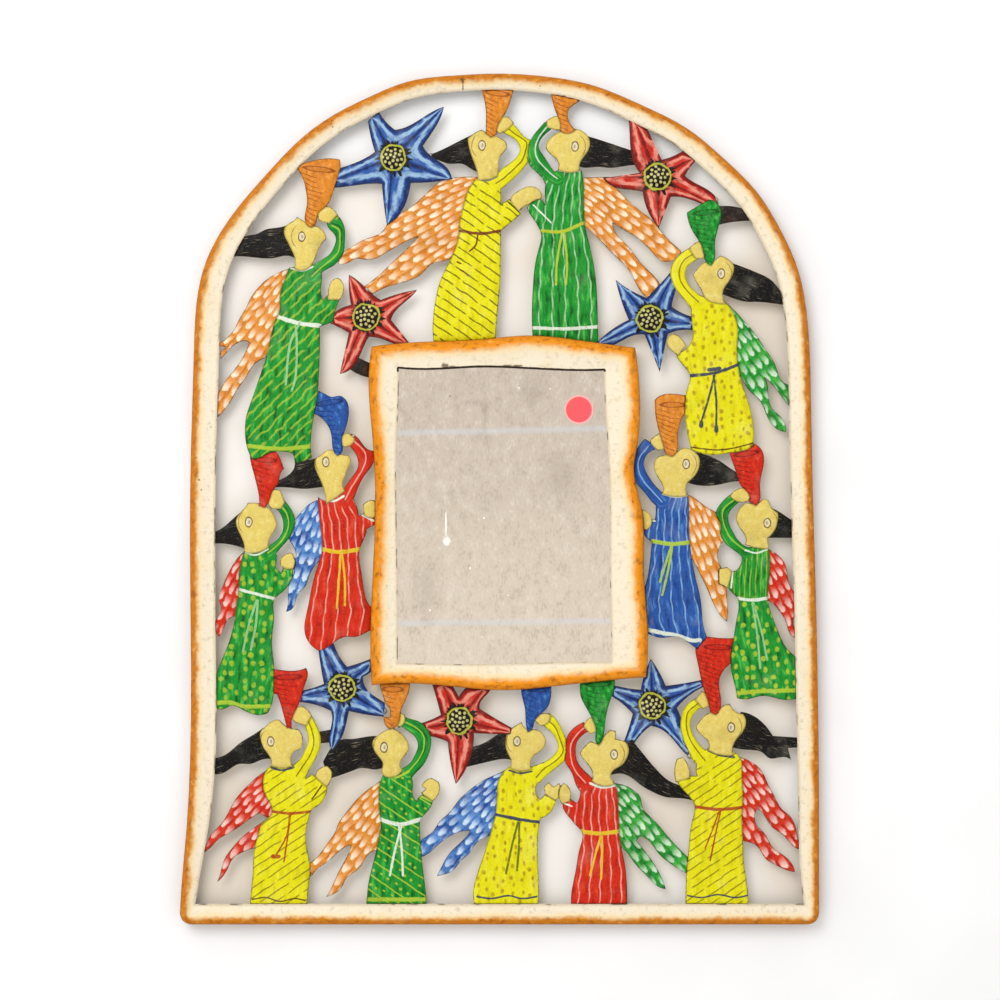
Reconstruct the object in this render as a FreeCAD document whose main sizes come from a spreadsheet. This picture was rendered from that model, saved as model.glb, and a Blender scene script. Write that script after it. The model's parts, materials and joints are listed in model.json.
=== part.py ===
"""An arched wall mirror of painted tin: an outer rim, thirteen angels, seven star flowers and a framed glass.

The front faces -Y, the wall is the plane y = 0 and the origin is where the hanging ring takes its hook.
"""
import FreeCAD, Part
import math
import os

Vector = FreeCAD.Vector
doc = FreeCAD.newDocument("tin_mirror")
sheet = doc.addObject("Spreadsheet::Sheet", "sizes")

# Driving dimensions in millimetres; a depth is measured forward from the wall
SIZES = (
    ("overall_width", 420.0),
    ("overall_height", 559.0),
    ("tin_sheet", 0.8),
    ("hook_below_frame_top", 8.0),
    ("rim_left_width", 16.6),
    ("rim_right_width", 14.6),
    ("rim_top_width", 10.6),
    ("rim_base_width", 13.4),
    ("rim_foot_width", 10.2),
    ("rim_corner_radius", 7.6),
    ("rim_crest_inset", 4.6),
    ("rim_crest_depth", 14.0),
    ("rim_shoulder_depth", 9.6),
    ("rim_lip_depth", 10.8),
    ("rim_flange_width", 5.2),
    ("frame_from_left", 125.5),
    ("frame_from_top", 176.2),
    ("frame_left_side", 17.7),
    ("frame_right_side", 23.0),
    ("frame_top_side", 18.4),
    ("frame_bottom_side", 14.5),
    ("window_width", 139.3),
    ("window_height", 192.6),
    ("frame_crest_inset", 4.8),
    ("frame_crest_depth", 16.4),
    ("frame_shoulder_depth", 12.6),
    ("frame_lip_seat", 1.0),
    ("figure_back", 8.0),
    ("relief_step", 0.3),
    ("dome_radius", 6.6),
    ("dome_flat_angle", 32.0),
    ("card_thickness", 1.0),
    ("glass_thickness", 3.0),
    ("glass_margin", 7.0),
    ("glass_clearance", 0.3),
    ("pan_wall_height", 3.4),
    ("dot_diameter", 19.0),
    ("dot_thickness", 0.15),
    ("ring_wire", 2.2),
    ("ring_arc_radius", 9.0),
    ("ring_corner_radius", 2.5),
    ("ring_clearance", 0.15),
    ("strap_width", 11.0),
    ("strap_length", 24.0),
    ("bead_radius", 4.4),
    ("bead_flat_angle", 46.0),
    ("overrun", 5.0),
)
for row, (alias, value) in enumerate(SIZES, start=1):
    sheet.set(f"A{row}", alias)
    sheet.set(f"B{row}", str(value))
    sheet.setAlias(f"B{row}", alias)
doc.recompute()


def size(alias):
    """A driving dimension, read back from the sheet."""
    return float(sheet.get(alias))


# Edges seen in the photograph, in its pixels, that the sizes above put at their real places
RIM_LEFT_PIXEL, RIM_RIGHT_PIXEL = 180, 819
RIM_TOP_PIXEL, RIM_BOTTOM_PIXEL = 74, 924
FRAME_LEFT_PIXEL, WINDOW_LEFT_PIXEL, WINDOW_RIGHT_PIXEL, FRAME_RIGHT_PIXEL = 371, 398, 610, 645
FRAME_TOP_PIXEL, WINDOW_TOP_PIXEL, WINDOW_BOTTOM_PIXEL, FRAME_BOTTOM_PIXEL = 342, 370, 663, 685

rim_left = -size("overall_width") / 2
rim_right = size("overall_width") / 2
frame_left = rim_left + size("frame_from_left")
window_left = frame_left + size("frame_left_side")
window_right = window_left + size("window_width")
frame_right = window_right + size("frame_right_side")
frame_top = size("hook_below_frame_top")
rim_top = frame_top + size("frame_from_top")
rim_bottom = rim_top - size("overall_height")
window_top = frame_top - size("frame_top_side")
window_bottom = window_top - size("window_height")
frame_bottom = window_bottom - size("frame_bottom_side")

ACROSS = (
    (RIM_LEFT_PIXEL, rim_left),
    (FRAME_LEFT_PIXEL, frame_left),
    (WINDOW_LEFT_PIXEL, window_left),
    (WINDOW_RIGHT_PIXEL, window_right),
    (FRAME_RIGHT_PIXEL, frame_right),
    (RIM_RIGHT_PIXEL, rim_right),
)
DOWN = (
    (RIM_TOP_PIXEL, rim_top),
    (FRAME_TOP_PIXEL, frame_top),
    (WINDOW_TOP_PIXEL, window_top),
    (WINDOW_BOTTOM_PIXEL, window_bottom),
    (FRAME_BOTTOM_PIXEL, frame_bottom),
    (RIM_BOTTOM_PIXEL, rim_bottom),
)


def placed(pixel, table):
    """The real place of a pixel column or row, between the two known edges nearest it."""
    for (pixel_a, place_a), (pixel_b, place_b) in zip(table, table[1:]):
        if pixel <= pixel_b:
            break
    return place_a + (place_b - place_a) * (pixel - pixel_a) / (pixel_b - pixel_a)


def spot(pixel_x, pixel_y, depth=0.0):
    """A pixel's place on the object, as X, Z and a depth in front of the wall."""
    return Vector(placed(pixel_x, ACROSS), -depth, placed(pixel_y, DOWN))


def flat(pixel_x, pixel_y):
    """The same place in a front-facing sketch, whose axes are X and Z."""
    return Vector(placed(pixel_x, ACROSS), placed(pixel_y, DOWN), 0)


# Mouldings: a closed profile carried round a closed path of stations
# A profile point is (0 outer edge or 1 inner edge, distance in from it, depth)
def shoulder(inset, low, high, wall, steps=4):
    """Profile points of the rounded outer shoulder, inside a wall of this thickness."""
    points = []
    for step in range(steps + 1):
        turn = math.pi / 2 * step / steps
        across = wall + (inset - wall) * (1 - math.cos(turn))
        points.append((0, across, low + (high - wall - low) * math.sin(turn)))
    return points


def moulding(segments, profile):
    """A solid whose section is the profile, carried round segments of (outer, inner, width) stations."""
    rails = []
    for edge, inset, depth in profile:
        rail = []
        for stations in segments:
            points = []
            for outer, inner, width in stations:
                along = edge + inset / width
                point = outer + (inner - outer) * along
                points.append(Vector(point.x, -depth, point.z))
            rail.append(smooth_edge(points))
        rails.append(rail)
    faces = []
    for index, rail in enumerate(rails):
        following = rails[index - 1]
        if profile[index][2] == profile[index - 1][2]:
            faces.append(Part.makeFace([Part.Wire(rail), Part.Wire(following)], "Part::FaceMakerBullseye"))
        else:
            for edge_a, edge_b in zip(rail, following):
                faces.append(Part.makeRuledSurface(edge_a, edge_b))
    shell = Part.Shell(faces)
    shell.sewShape()
    solid = Part.Solid(shell)
    if solid.Volume < 0:
        solid.reverse()
    return solid


def smooth_edge(points):
    """One edge through the points: straight for two, a smooth curve for more."""
    if len(points) == 2:
        return Part.LineSegment(points[0], points[1]).toShape()
    curve = Part.BSplineCurve()
    curve.interpolate(points)
    return curve.toShape()


def disc(segments, edge, near, far):
    """A block that fills the outer (0) or inner (1) outline of a moulding from one depth to another."""
    edges = []
    for stations in segments:
        points = []
        for outer, inner, width in stations:
            point = outer + (inner - outer) * edge
            points.append(Vector(point.x, -near, point.z))
        edges.append(smooth_edge(points))
    face = Part.Face(Part.Wire(edges))
    return face.extrude(Vector(0, near - far, 0))


# The rim's outer edge from the left foot over the arch to the right foot, in pixels, each with the
# share of the way from the narrow width to the full leg width that the strip has there
RIM_EDGE_PIXELS_AND_SHARES = (
    (182, 880, 0.15),
    (186, 836, 0.55),
    (190, 765, 1.0),
    (191, 650, 0.95),
    (190, 550, 1.0),
    (191, 450, 1.0),
    (194, 350, 1.0),
    (198, 293, 0.95),
    (206, 262, 0.85),
    (221, 232, 0.7),
    (241, 204, 0.5),
    (268, 173, 0.35),
    (300, 140, 0.3),
    (331, 117, 0.25),
    (370, 97, 0.2),
    (408, 82, 0.15),
    (453, 76, 0.0),
    (500, 74, 0.0),
    (547, 77, 0.1),
    (594, 86, 0.3),
    (641, 105, 0.5),
    (689, 130, 0.7),
    (724, 159, 0.8),
    (755, 190, 0.9),
    (780, 229, 1.0),
    (798, 270, 1.0),
    (807, 316, 1.0),
    (811, 400, 1.0),
    (813, 500, 1.0),
    (816, 600, 0.95),
    (818, 700, 0.95),
    (819, 790, 0.8),
    (819, 860, 0.6),
)


def rim_segments():
    """Stations round the rim: the legs and arch, and the foot with its rounded corners."""
    edge = [spot(x, y) for x, y, share in RIM_EDGE_PIXELS_AND_SHARES]
    radius = size("rim_corner_radius")
    foot = size("rim_foot_width")
    base = size("rim_base_width")
    inner_left = Vector(rim_left + foot, 0, rim_bottom + base)
    inner_right = Vector(rim_right - foot, 0, rim_bottom + base)
    nick = size("tin_sheet")
    up = Vector(0, 0, nick)
    side = Vector(nick, 0, 0)
    left_end = (Vector(rim_left, 0, rim_bottom + radius), inner_left + up, foot)
    right_end = (Vector(rim_right, 0, rim_bottom + radius), inner_right + up, foot)
    arch = [left_end]
    for index, (pixel_x, pixel_y, share) in enumerate(RIM_EDGE_PIXELS_AND_SHARES):
        here = edge[index]
        before = edge[max(index - 1, 0)]
        after = edge[min(index + 1, len(edge) - 1)]
        run = (after - before).normalize()
        inward = Vector(run.z, 0, -run.x)
        full = size("rim_left_width") if here.x < 0 else size("rim_right_width")
        narrow = size("rim_top_width") if pixel_y < FRAME_TOP_PIXEL else foot
        width = narrow + (full - narrow) * share
        arch.append((here, here + inward * width, width))
    arch.append(right_end)
    foot_right = (Vector(rim_right - radius, 0, rim_bottom), inner_right - side, base)
    foot_left = (Vector(rim_left + radius, 0, rim_bottom), inner_left + side, base)
    bend = radius * (1 - math.sqrt(2) / 2)
    corner_right = (Vector(rim_right - bend, 0, rim_bottom + bend), inner_right, (foot + base) / 2)
    corner_left = (Vector(rim_left + bend, 0, rim_bottom + bend), inner_left, (foot + base) / 2)
    return (
        arch,
        [right_end, corner_right, foot_right],
        [foot_right, foot_left],
        [foot_left, corner_left, left_end],
    )


# The mirror frame's four sides in pixels: outer edge, inner edge
FRAME_LEFT_PIXELS = (
    (372, 685, 398, 663),
    (371, 620, 398, 600),
    (375, 530, 397, 530),
    (373, 440, 397, 440),
    (369, 390, 399, 395),
    (372, 347, 399, 369),
)
FRAME_TOP_PIXELS = (
    (372, 347, 399, 369),
    (430, 342, 440, 370),
    (480, 340, 478, 368),
    (525, 336, 520, 369),
    (575, 340, 560, 371),
    (635, 348, 604, 371),
)
FRAME_RIGHT_PIXELS = (
    (635, 348, 604, 371),
    (640, 400, 606, 420),
    (637, 448, 608, 450),
    (634, 466, 609, 470),
    (641, 505, 610, 505),
    (644, 573, 610, 580),
    (648, 635, 611, 620),
    (646, 677, 611, 662),
)
FRAME_BOTTOM_PIXELS = (
    (646, 677, 611, 662),
    (600, 681, 570, 662),
    (545, 687, 530, 663),
    (508, 690, 495, 664),
    (460, 687, 450, 664),
    (372, 685, 398, 663),
)


def frame_segments():
    """Stations round the mirror frame, one smooth run for each side, whose corners share a width."""
    all_pixels = (FRAME_LEFT_PIXELS, FRAME_TOP_PIXELS, FRAME_RIGHT_PIXELS, FRAME_BOTTOM_PIXELS)
    widths = [size(f"frame_{side}_side") for side in ("left", "top", "right", "bottom")]
    segments = []
    for index, pixels in enumerate(all_pixels):
        width = widths[index]
        corner_before = (widths[index - 1] + width) / 2
        corner_after = (width + widths[(index + 1) % len(widths)]) / 2
        stations = []
        for count, (outer_x, outer_y, inner_x, inner_y) in enumerate(pixels):
            here = width
            if count == 0:
                here = corner_before
            if count == len(pixels) - 1:
                here = corner_after
            stations.append((spot(outer_x, outer_y), spot(inner_x, inner_y), here))
        segments.append(stations)
    return segments


def node(name, shape_or_object):
    """Keep a piece under its node name: a document object, or a shape that Part made."""
    if isinstance(shape_or_object, Part.Shape):
        piece = doc.addObject("Part::Feature", name)
        piece.Shape = shape_or_object
    else:
        piece = shape_or_object
    piece.Label = name
    NODES.append(piece)
    return piece


NODES = []
tin = size("tin_sheet")
figure_back = size("figure_back")

# The outer rim: a channel of tin with a flange on the wall and a lip that takes the figures
RIM = rim_segments()
rim_profile = [(0, 0.0, 0.0)]
rim_profile += shoulder(size("rim_crest_inset"), size("rim_shoulder_depth"), size("rim_crest_depth"), 0.0)
rim_profile += [
    (1, 0.0, size("rim_lip_depth")),
    (1, 0.0, figure_back),
    (1, -tin, figure_back),
    (1, -tin, size("rim_lip_depth") - tin / 2),
]
rim_profile += reversed(
    shoulder(size("rim_crest_inset"), size("rim_shoulder_depth"), size("rim_crest_depth"), tin)
)
rim_profile += [(0, tin, tin), (0, size("rim_flange_width"), tin), (0, size("rim_flange_width"), 0.0)]
node("outer_rim", moulding(RIM, rim_profile))

# The mirror frame: a raised moulding whose inner edge holds the glass from the front
FRAME = frame_segments()
glass_back = figure_back + size("card_thickness")
glass_front = glass_back + size("glass_thickness")
frame_profile = [(0, 0.0, figure_back)]
frame_profile += shoulder(
    size("frame_crest_inset"), size("frame_shoulder_depth"), size("frame_crest_depth"), 0.0
)
frame_profile += [
    (1, 0.0, glass_front + tin),
    (1, 0.0, glass_front),
    (1, -size("frame_lip_seat"), glass_front),
]
frame_profile += reversed(
    shoulder(size("frame_crest_inset"), size("frame_shoulder_depth"), size("frame_crest_depth"), tin)
)
frame_profile += [(0, tin, figure_back)]
node("mirror_frame", moulding(FRAME, frame_profile))

# Blocks that trim the figures: all that lies past the rim's lip, and all inside the mirror frame's wall
overrun = size("overrun")
trim_near = figure_back - overrun
trim_far = size("frame_crest_depth") + overrun
beyond = Part.makeBox(
    size("overall_width") + 2 * overrun,
    trim_far - trim_near,
    size("overall_height") + 2 * overrun,
    Vector(rim_left - overrun, -trim_far, rim_bottom - overrun),
)
rim_block = doc.addObject("Part::Feature", "past_the_rim")
rim_block.Shape = beyond.cut(disc(RIM, 1, trim_near - overrun, trim_far + overrun))
frame_block = doc.addObject("Part::Feature", "inside_the_frame")
frame_block.Shape = disc(FRAME, 0, trim_near, trim_far)

# Glass, card and pan
def bound(kind, name, placement, **expressions):
    """A named primitive at a place, with its sizes bound to the sheet."""
    piece = doc.addObject(kind, name)
    for key, expression in expressions.items():
        piece.setExpression(key, expression)
    piece.Placement = placement
    return piece


def window_box(name, border_names, depth_name, front):
    """A block over the window, wider all round by a border, whose front is at a depth."""
    border = " + ".join(f"sizes.{alias}" for alias in border_names)
    all_round = sum(size(alias) for alias in border_names)
    corner = Vector(window_left - all_round, -front, window_bottom - all_round)
    return bound(
        "Part::Box",
        name,
        FreeCAD.Placement(corner, FreeCAD.Rotation()),
        Length=f"sizes.window_width + 2 * ({border})",
        Width=f"sizes.{depth_name}",
        Height=f"sizes.window_height + 2 * ({border})",
    )


node("mirror_glass", window_box("mirror_glass", ["glass_margin"], "glass_thickness", glass_front))
node("backing_card", window_box("backing_card", ["glass_margin"], "card_thickness", glass_back))

pan_back = figure_back - tin
pan_plate = doc.addObject("Part::Feature", "pan_plate")
pan_plate.Shape = disc(FRAME, 0, pan_back, figure_back)
wall_front = figure_back + size("pan_wall_height")
pocket_border = ["glass_margin", "glass_clearance"]
wall_border = [*pocket_border, "tin_sheet"]
pan_wall = doc.addObject("Part::Cut", "pan_wall")
pan_wall.Base = window_box("pan_wall_outside", wall_border, "pan_wall_height", wall_front)
pan_wall.Tool = window_box("pan_wall_inside", pocket_border, "pan_wall_height", wall_front)
pan = doc.addObject("Part::Fuse", "back_pan")
pan.Base = pan_plate
pan.Tool = pan_wall
node("back_pan", pan)

# A bare round sticker on the glass
DOT_PIXEL = (579, 410)
forward = FreeCAD.Rotation(Vector(1, 0, 0), 90)
dot = bound(
    "Part::Cylinder",
    "price_dot",
    FreeCAD.Placement(spot(*DOT_PIXEL, glass_front), forward),
    Radius="sizes.dot_diameter / 2",
    Height="sizes.dot_thickness",
)
node("price_dot", dot)

# Hanging ring: a bar in the strap, two small corner bends and a half round, of one wire
arc = size("ring_arc_radius")
bend = size("ring_corner_radius")
wire_radius = size("ring_wire") / 2
strap_outer = wire_radius + size("ring_clearance") + tin
pivot_depth = pan_back - strap_outer
pivot_z = -(arc + bend - wire_radius)
crosswise = FreeCAD.Rotation(Vector(0, 1, 0), 90)
straight = arc - bend
bar = bound(
    "Part::Cylinder",
    "ring_bar",
    FreeCAD.Placement(Vector(-straight, -pivot_depth, pivot_z), crosswise),
    Radius="sizes.ring_wire / 2",
    Height="2 * (sizes.ring_arc_radius - sizes.ring_corner_radius)",
)


def wire_bend(name, across, turn, sweep, radius):
    """One bend of the ring's wire: its centre, where it starts and how far it turns."""
    piece = bound(
        "Part::Torus",
        name,
        FreeCAD.Placement(Vector(across, -pivot_depth, pivot_z + bend), forward.multiply(turn)),
        Radius1=radius,
        Radius2="sizes.ring_wire / 2",
    )
    piece.Angle3 = sweep
    return piece


left_turn = FreeCAD.Rotation(Vector(0, 0, 1), 180)
right_turn = FreeCAD.Rotation(Vector(0, 0, 1), 270)
ring = doc.addObject("Part::MultiFuse", "hanger_ring")
ring.Shapes = [
    bar,
    wire_bend("ring_bend_left", -straight, left_turn, 90, "sizes.ring_corner_radius"),
    wire_bend("ring_bend_right", straight, right_turn, 90, "sizes.ring_corner_radius"),
    wire_bend("ring_crown", 0, FreeCAD.Rotation(), 180, "sizes.ring_arc_radius"),
]
node("hanger_ring", ring)

# Its strap: a sleeve round the bar and a tongue on the pan
half_strap = size("strap_width") / 2
sleeve_placement = FreeCAD.Placement(Vector(-half_strap, -pivot_depth, pivot_z), crosswise)
sleeve_outer = bound(
    "Part::Cylinder",
    "sleeve_outer",
    sleeve_placement,
    Radius="sizes.ring_wire / 2 + sizes.ring_clearance + sizes.tin_sheet",
    Height="sizes.strap_width",
)
sleeve_inner = bound(
    "Part::Cylinder",
    "sleeve_inner",
    sleeve_placement,
    Radius="sizes.ring_wire / 2 + sizes.ring_clearance",
    Height="sizes.strap_width",
)
tongue = bound(
    "Part::Box",
    "tongue",
    FreeCAD.Placement(Vector(-half_strap, -pan_back, pivot_z - size("strap_length")), FreeCAD.Rotation()),
    Length="sizes.strap_width",
    Width="sizes.tin_sheet",
    Height="sizes.strap_length",
)
strap_solid = doc.addObject("Part::Fuse", "strap_solid")
strap_solid.Base = sleeve_outer
strap_solid.Tool = tongue
strap = doc.addObject("Part::Cut", "hanger_strap")
strap.Base = strap_solid
strap.Tool = sleeve_inner
node("hanger_strap", strap)

# Figures: each region of a figure is cut from the same back plane to its own relief level
RELIEF_LEVELS = {
    "wing": 0,
    "hair": 1,
    "tab": 1,
    "robe": 2,
    "arm": 2,
    "star": 2,
    "head": 3,
    "hand": 4,
    "horn": 5,
}
CORNER_TURN = math.radians(48)


def runs(points):
    """A closed outline split at its corners into runs of points."""
    count = len(points)
    corners = []
    for index in range(count):
        before = points[index] - points[index - 1]
        after = points[(index + 1) % count] - points[index]
        if before.getAngle(after) > CORNER_TURN:
            corners.append(index)
    if len(corners) < 2:
        corners = [0, count // 2]
    pieces = []
    for start, end in zip(corners, corners[1:] + [corners[0] + count]):
        pieces.append([points[index % count] for index in range(start, end + 1)])
    return pieces


def region(name, kind, pixels, full_depth=False):
    """One region of a figure: a sketch of its outline, padded forward to its level."""
    sketch_name = f"{name}_outline"
    sketch = doc.getObject(sketch_name)
    if sketch is None:
        sketch = doc.addObject("Sketcher::SketchObject", sketch_name)
        sketch.Placement = FreeCAD.Placement(Vector(0, 0, 0), forward)
        sketch.setExpression("Placement.Base.y", "-sizes.figure_back")
        curves = []
        for points in runs([flat(x, y) for x, y in pixels]):
            if len(points) == 2:
                curves.append(Part.LineSegment(points[0], points[1]))
            else:
                curve = Part.BSplineCurve()
                curve.interpolate(points)
                curves.append(curve)
        sketch.addGeometry(curves, False)
    pad = doc.addObject("Part::Extrusion", f"{name}_trimmer" if full_depth else name)
    pad.Base = sketch
    pad.DirMode = "Normal"
    pad.Solid = True
    if full_depth:
        pad.setExpression("LengthFwd", "sizes.frame_crest_depth")
        pad.setExpression("LengthRev", "sizes.overrun")
    else:
        pad.setExpression("LengthFwd", f"sizes.tin_sheet + sizes.relief_step * {RELIEF_LEVELS[kind]}")
    return pad


def trimmed(name, solid, trimmers):
    """The solid less each trimmer in turn."""
    for count, trimmer in enumerate(trimmers, start=1):
        cut = doc.addObject("Part::Cut", f"{name}_trim_{count}")
        cut.Base = solid
        cut.Tool = trimmer
        solid = cut
    return solid


# Outlines of the figures' regions, in the photograph's pixels, each region running under the ones above it
ANGEL_TOP_LEFT_PIXELS = (
    ("wing", (
        (477, 177), (452, 178), (444, 180), (427, 193), (405, 211), (388, 223), (383, 231), (366, 239),
        (348, 249), (339, 256), (338, 264), (350, 262), (356, 259), (367, 260), (388, 252), (404, 243),
        (418, 237), (408, 248), (395, 260), (378, 276), (360, 289), (372, 295), (385, 288), (402, 283),
        (424, 272), (432, 264), (441, 262), (456, 256), (480, 235), (484, 195),
    )),
    ("hair", (
        (472, 135), (456, 143), (444, 149), (426, 156), (440, 161), (451, 164), (462, 164), (473, 170),
        (484, 172), (484, 140),
    )),
    ("robe", (
        (478, 178), (471, 186), (464, 205), (460, 222), (459, 236), (449, 263), (440, 282), (435, 304),
        (433, 322), (435, 349), (496, 349), (497, 321), (500, 288), (501, 252), (501, 231), (512, 222),
        (521, 214), (510, 199), (501, 205), (501, 190), (497, 174), (487, 172),
    )),
    ("arm", (
        (510, 122), (521, 133), (528, 139), (533, 140), (533, 150), (530, 159), (525, 167), (518, 175),
        (508, 184), (498, 192), (488, 186), (494, 177), (500, 171), (509, 164), (517, 157), (520, 150),
        (518, 143), (511, 137), (501, 131),
    )),
    ("head", (
        (468, 139), (475, 133), (482, 130), (490, 134), (498, 137), (506, 142), (506, 150), (501, 156),
        (499, 165), (498, 176), (488, 180), (478, 180), (476, 168), (472, 157), (469, 147),
    )),
    ("hand", (
        (511, 202), (512, 196), (519, 191), (527, 187), (534, 187), (542, 195), (541, 203), (528, 205),
        (519, 212),
    )),
    ("hand", ((494, 128), (498, 120), (508, 117), (514, 123), (506, 131), (499, 134))),
    ("horn", (
        (480, 84), (483, 94), (486, 112), (486, 124), (486, 134), (491, 138), (497, 135), (499, 124),
        (506, 113), (511, 100), (516, 84),
    )),
)
ANGEL_TOP_RIGHT_PIXELS = (
    ("wing", (
        (576, 178), (609, 177), (621, 193), (637, 208), (654, 222), (671, 242), (680, 250), (684, 262),
        (674, 261), (665, 262), (651, 251), (636, 237), (619, 227), (613, 223), (615, 231), (628, 246),
        (642, 264), (655, 277), (662, 288), (652, 300), (643, 294), (630, 272), (613, 254), (597, 237),
        (586, 228), (570, 222),
    )),
    ("hair", (
        (583, 135), (600, 140), (615, 145), (630, 150), (642, 153), (641, 165), (620, 167), (609, 168),
        (598, 167), (581, 167), (576, 162), (578, 145),
    )),
    ("robe", (
        (559, 170), (570, 168), (582, 171), (584, 190), (584, 205), (585, 224), (590, 246), (596, 279),
        (598, 318), (599, 350), (534, 350), (532, 318), (533, 288), (538, 252), (541, 233), (538, 226),
        (532, 217), (527, 208), (533, 202), (541, 199), (546, 205), (545, 190), (548, 178),
    )),
    ("arm", (
        (545, 122), (538, 130), (532, 138), (529, 146), (528, 155), (529, 164), (536, 172), (545, 184),
        (556, 184), (562, 178), (554, 171), (549, 164), (543, 155), (539, 148), (541, 140), (546, 134),
        (553, 128),
    )),
    ("head", (
        (556, 134), (562, 131), (571, 129), (582, 131), (589, 138), (590, 146), (587, 153), (582, 160),
        (580, 171), (569, 173), (558, 170), (556, 159), (550, 154), (546, 148), (548, 141),
    )),
    ("hand", ((546, 122), (551, 118), (558, 116), (564, 124), (563, 131), (555, 130), (548, 128))),
    ("horn", (
        (550, 84), (553, 103), (555, 110), (559, 119), (560, 131), (567, 134), (576, 130), (571, 125),
        (568, 117), (569, 110), (580, 101), (584, 90),
    )),
)
ANGEL_UPPER_LEFT_PIXELS = (
    ("wing", (
        (292, 268), (282, 271), (274, 275), (265, 281), (258, 288), (250, 299), (246, 308), (241, 316),
        (236, 326), (229, 336), (211, 345), (226, 347), (220, 353), (221, 359), (229, 350), (236, 344),
        (246, 341), (249, 343), (245, 353), (238, 365), (230, 375), (221, 388), (215, 402), (210, 411),
        (214, 420), (223, 412), (231, 401), (238, 389), (247, 376), (256, 363), (268, 356), (284, 330),
        (300, 290),
    )),
    ("hair", (
        (290, 224), (276, 228), (265, 230), (257, 234), (247, 236), (236, 244), (231, 257), (249, 257),
        (258, 258), (275, 258), (284, 256), (297, 260), (301, 245), (298, 232),
    )),
    ("robe", (
        (289, 268), (284, 282), (280, 297), (280, 309), (275, 322), (269, 347), (261, 373), (251, 402),
        (246, 418), (245, 431), (246, 443), (252, 459), (262, 457), (270, 453), (285, 452), (293, 454),
        (297, 464), (305, 461), (312, 458), (311, 442), (313, 422), (317, 400), (319, 376), (320, 350),
        (320, 327), (333, 322), (336, 309), (340, 299), (328, 295), (323, 300), (321, 291), (322, 276),
        (312, 264),
    )),
    ("arm", (
        (327, 224), (336, 214), (342, 221), (345, 230), (345, 241), (344, 251), (340, 259), (335, 265),
        (328, 269), (322, 273), (318, 282), (306, 272), (314, 265), (323, 259), (330, 254), (334, 247),
        (336, 240), (334, 234), (330, 230),
    )),
    ("head", (
        (286, 226), (292, 222), (297, 217), (302, 220), (309, 224), (318, 227), (325, 233), (326, 240),
        (320, 247), (317, 254), (314, 262), (309, 268), (301, 271), (294, 268), (295, 259), (292, 251),
        (287, 241), (284, 233),
    )),
    ("hand", ((328, 300), (329, 287), (332, 281), (338, 278), (343, 283), (344, 291), (340, 300))),
    ("hand", ((317, 213), (322, 206), (329, 207), (338, 215), (329, 224), (319, 221))),
    ("horn", (
        (294, 166), (309, 162), (324, 159), (340, 160), (340, 171), (337, 181), (334, 190), (331, 199),
        (326, 207), (319, 213), (316, 224), (311, 228), (305, 221), (307, 205), (306, 191), (303, 179),
    )),
)
ANGEL_UPPER_RIGHT_PIXELS = (
    ("wing", (
        (728, 304), (739, 315), (748, 325), (757, 336), (766, 350), (775, 364), (783, 382), (789, 385),
        (792, 399), (797, 414), (788, 405), (776, 389), (765, 378), (768, 387), (772, 408), (779, 415),
        (786, 432), (778, 430), (767, 416), (760, 401), (748, 389), (740, 376), (728, 366), (722, 330),
    )),
    ("hair", (
        (729, 262), (748, 269), (760, 274), (771, 280), (779, 289), (796, 306), (769, 303), (757, 302),
        (748, 302), (738, 300), (722, 294), (720, 285), (726, 272),
    )),
    ("robe", (
        (703, 296), (692, 306), (692, 323), (692, 340), (688, 347), (676, 353), (682, 364), (690, 376),
        (687, 390), (685, 405), (686, 424), (691, 449), (703, 454), (717, 455), (731, 453), (744, 451),
        (753, 446), (754, 433), (752, 416), (747, 398), (741, 380), (738, 364), (737, 348), (738, 330),
        (735, 317), (729, 306), (722, 299),
    )),
    ("arm", (
        (691, 247), (682, 253), (675, 260), (671, 269), (671, 278), (675, 288), (682, 297), (691, 309),
        (706, 308), (705, 298), (697, 293), (690, 286), (686, 278), (686, 270), (691, 264), (700, 258),
    )),
    ("head", (
        (693, 275), (698, 268), (704, 263), (712, 261), (720, 256), (728, 259), (734, 266), (733, 274),
        (729, 282), (724, 289), (723, 296), (726, 304), (714, 303), (706, 299), (701, 290), (696, 282),
    )),
    ("hand", ((667, 344), (668, 338), (674, 334), (681, 338), (686, 346), (678, 356), (672, 351))),
    ("hand", ((689, 249), (694, 244), (701, 241), (708, 250), (704, 259), (696, 259))),
    ("horn", (
        (687, 213), (700, 205), (709, 200), (718, 204), (721, 212), (720, 222), (717, 233), (715, 245),
        (715, 258), (711, 266), (705, 260), (703, 251), (700, 243), (693, 232), (689, 223),
    )),
)
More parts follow.
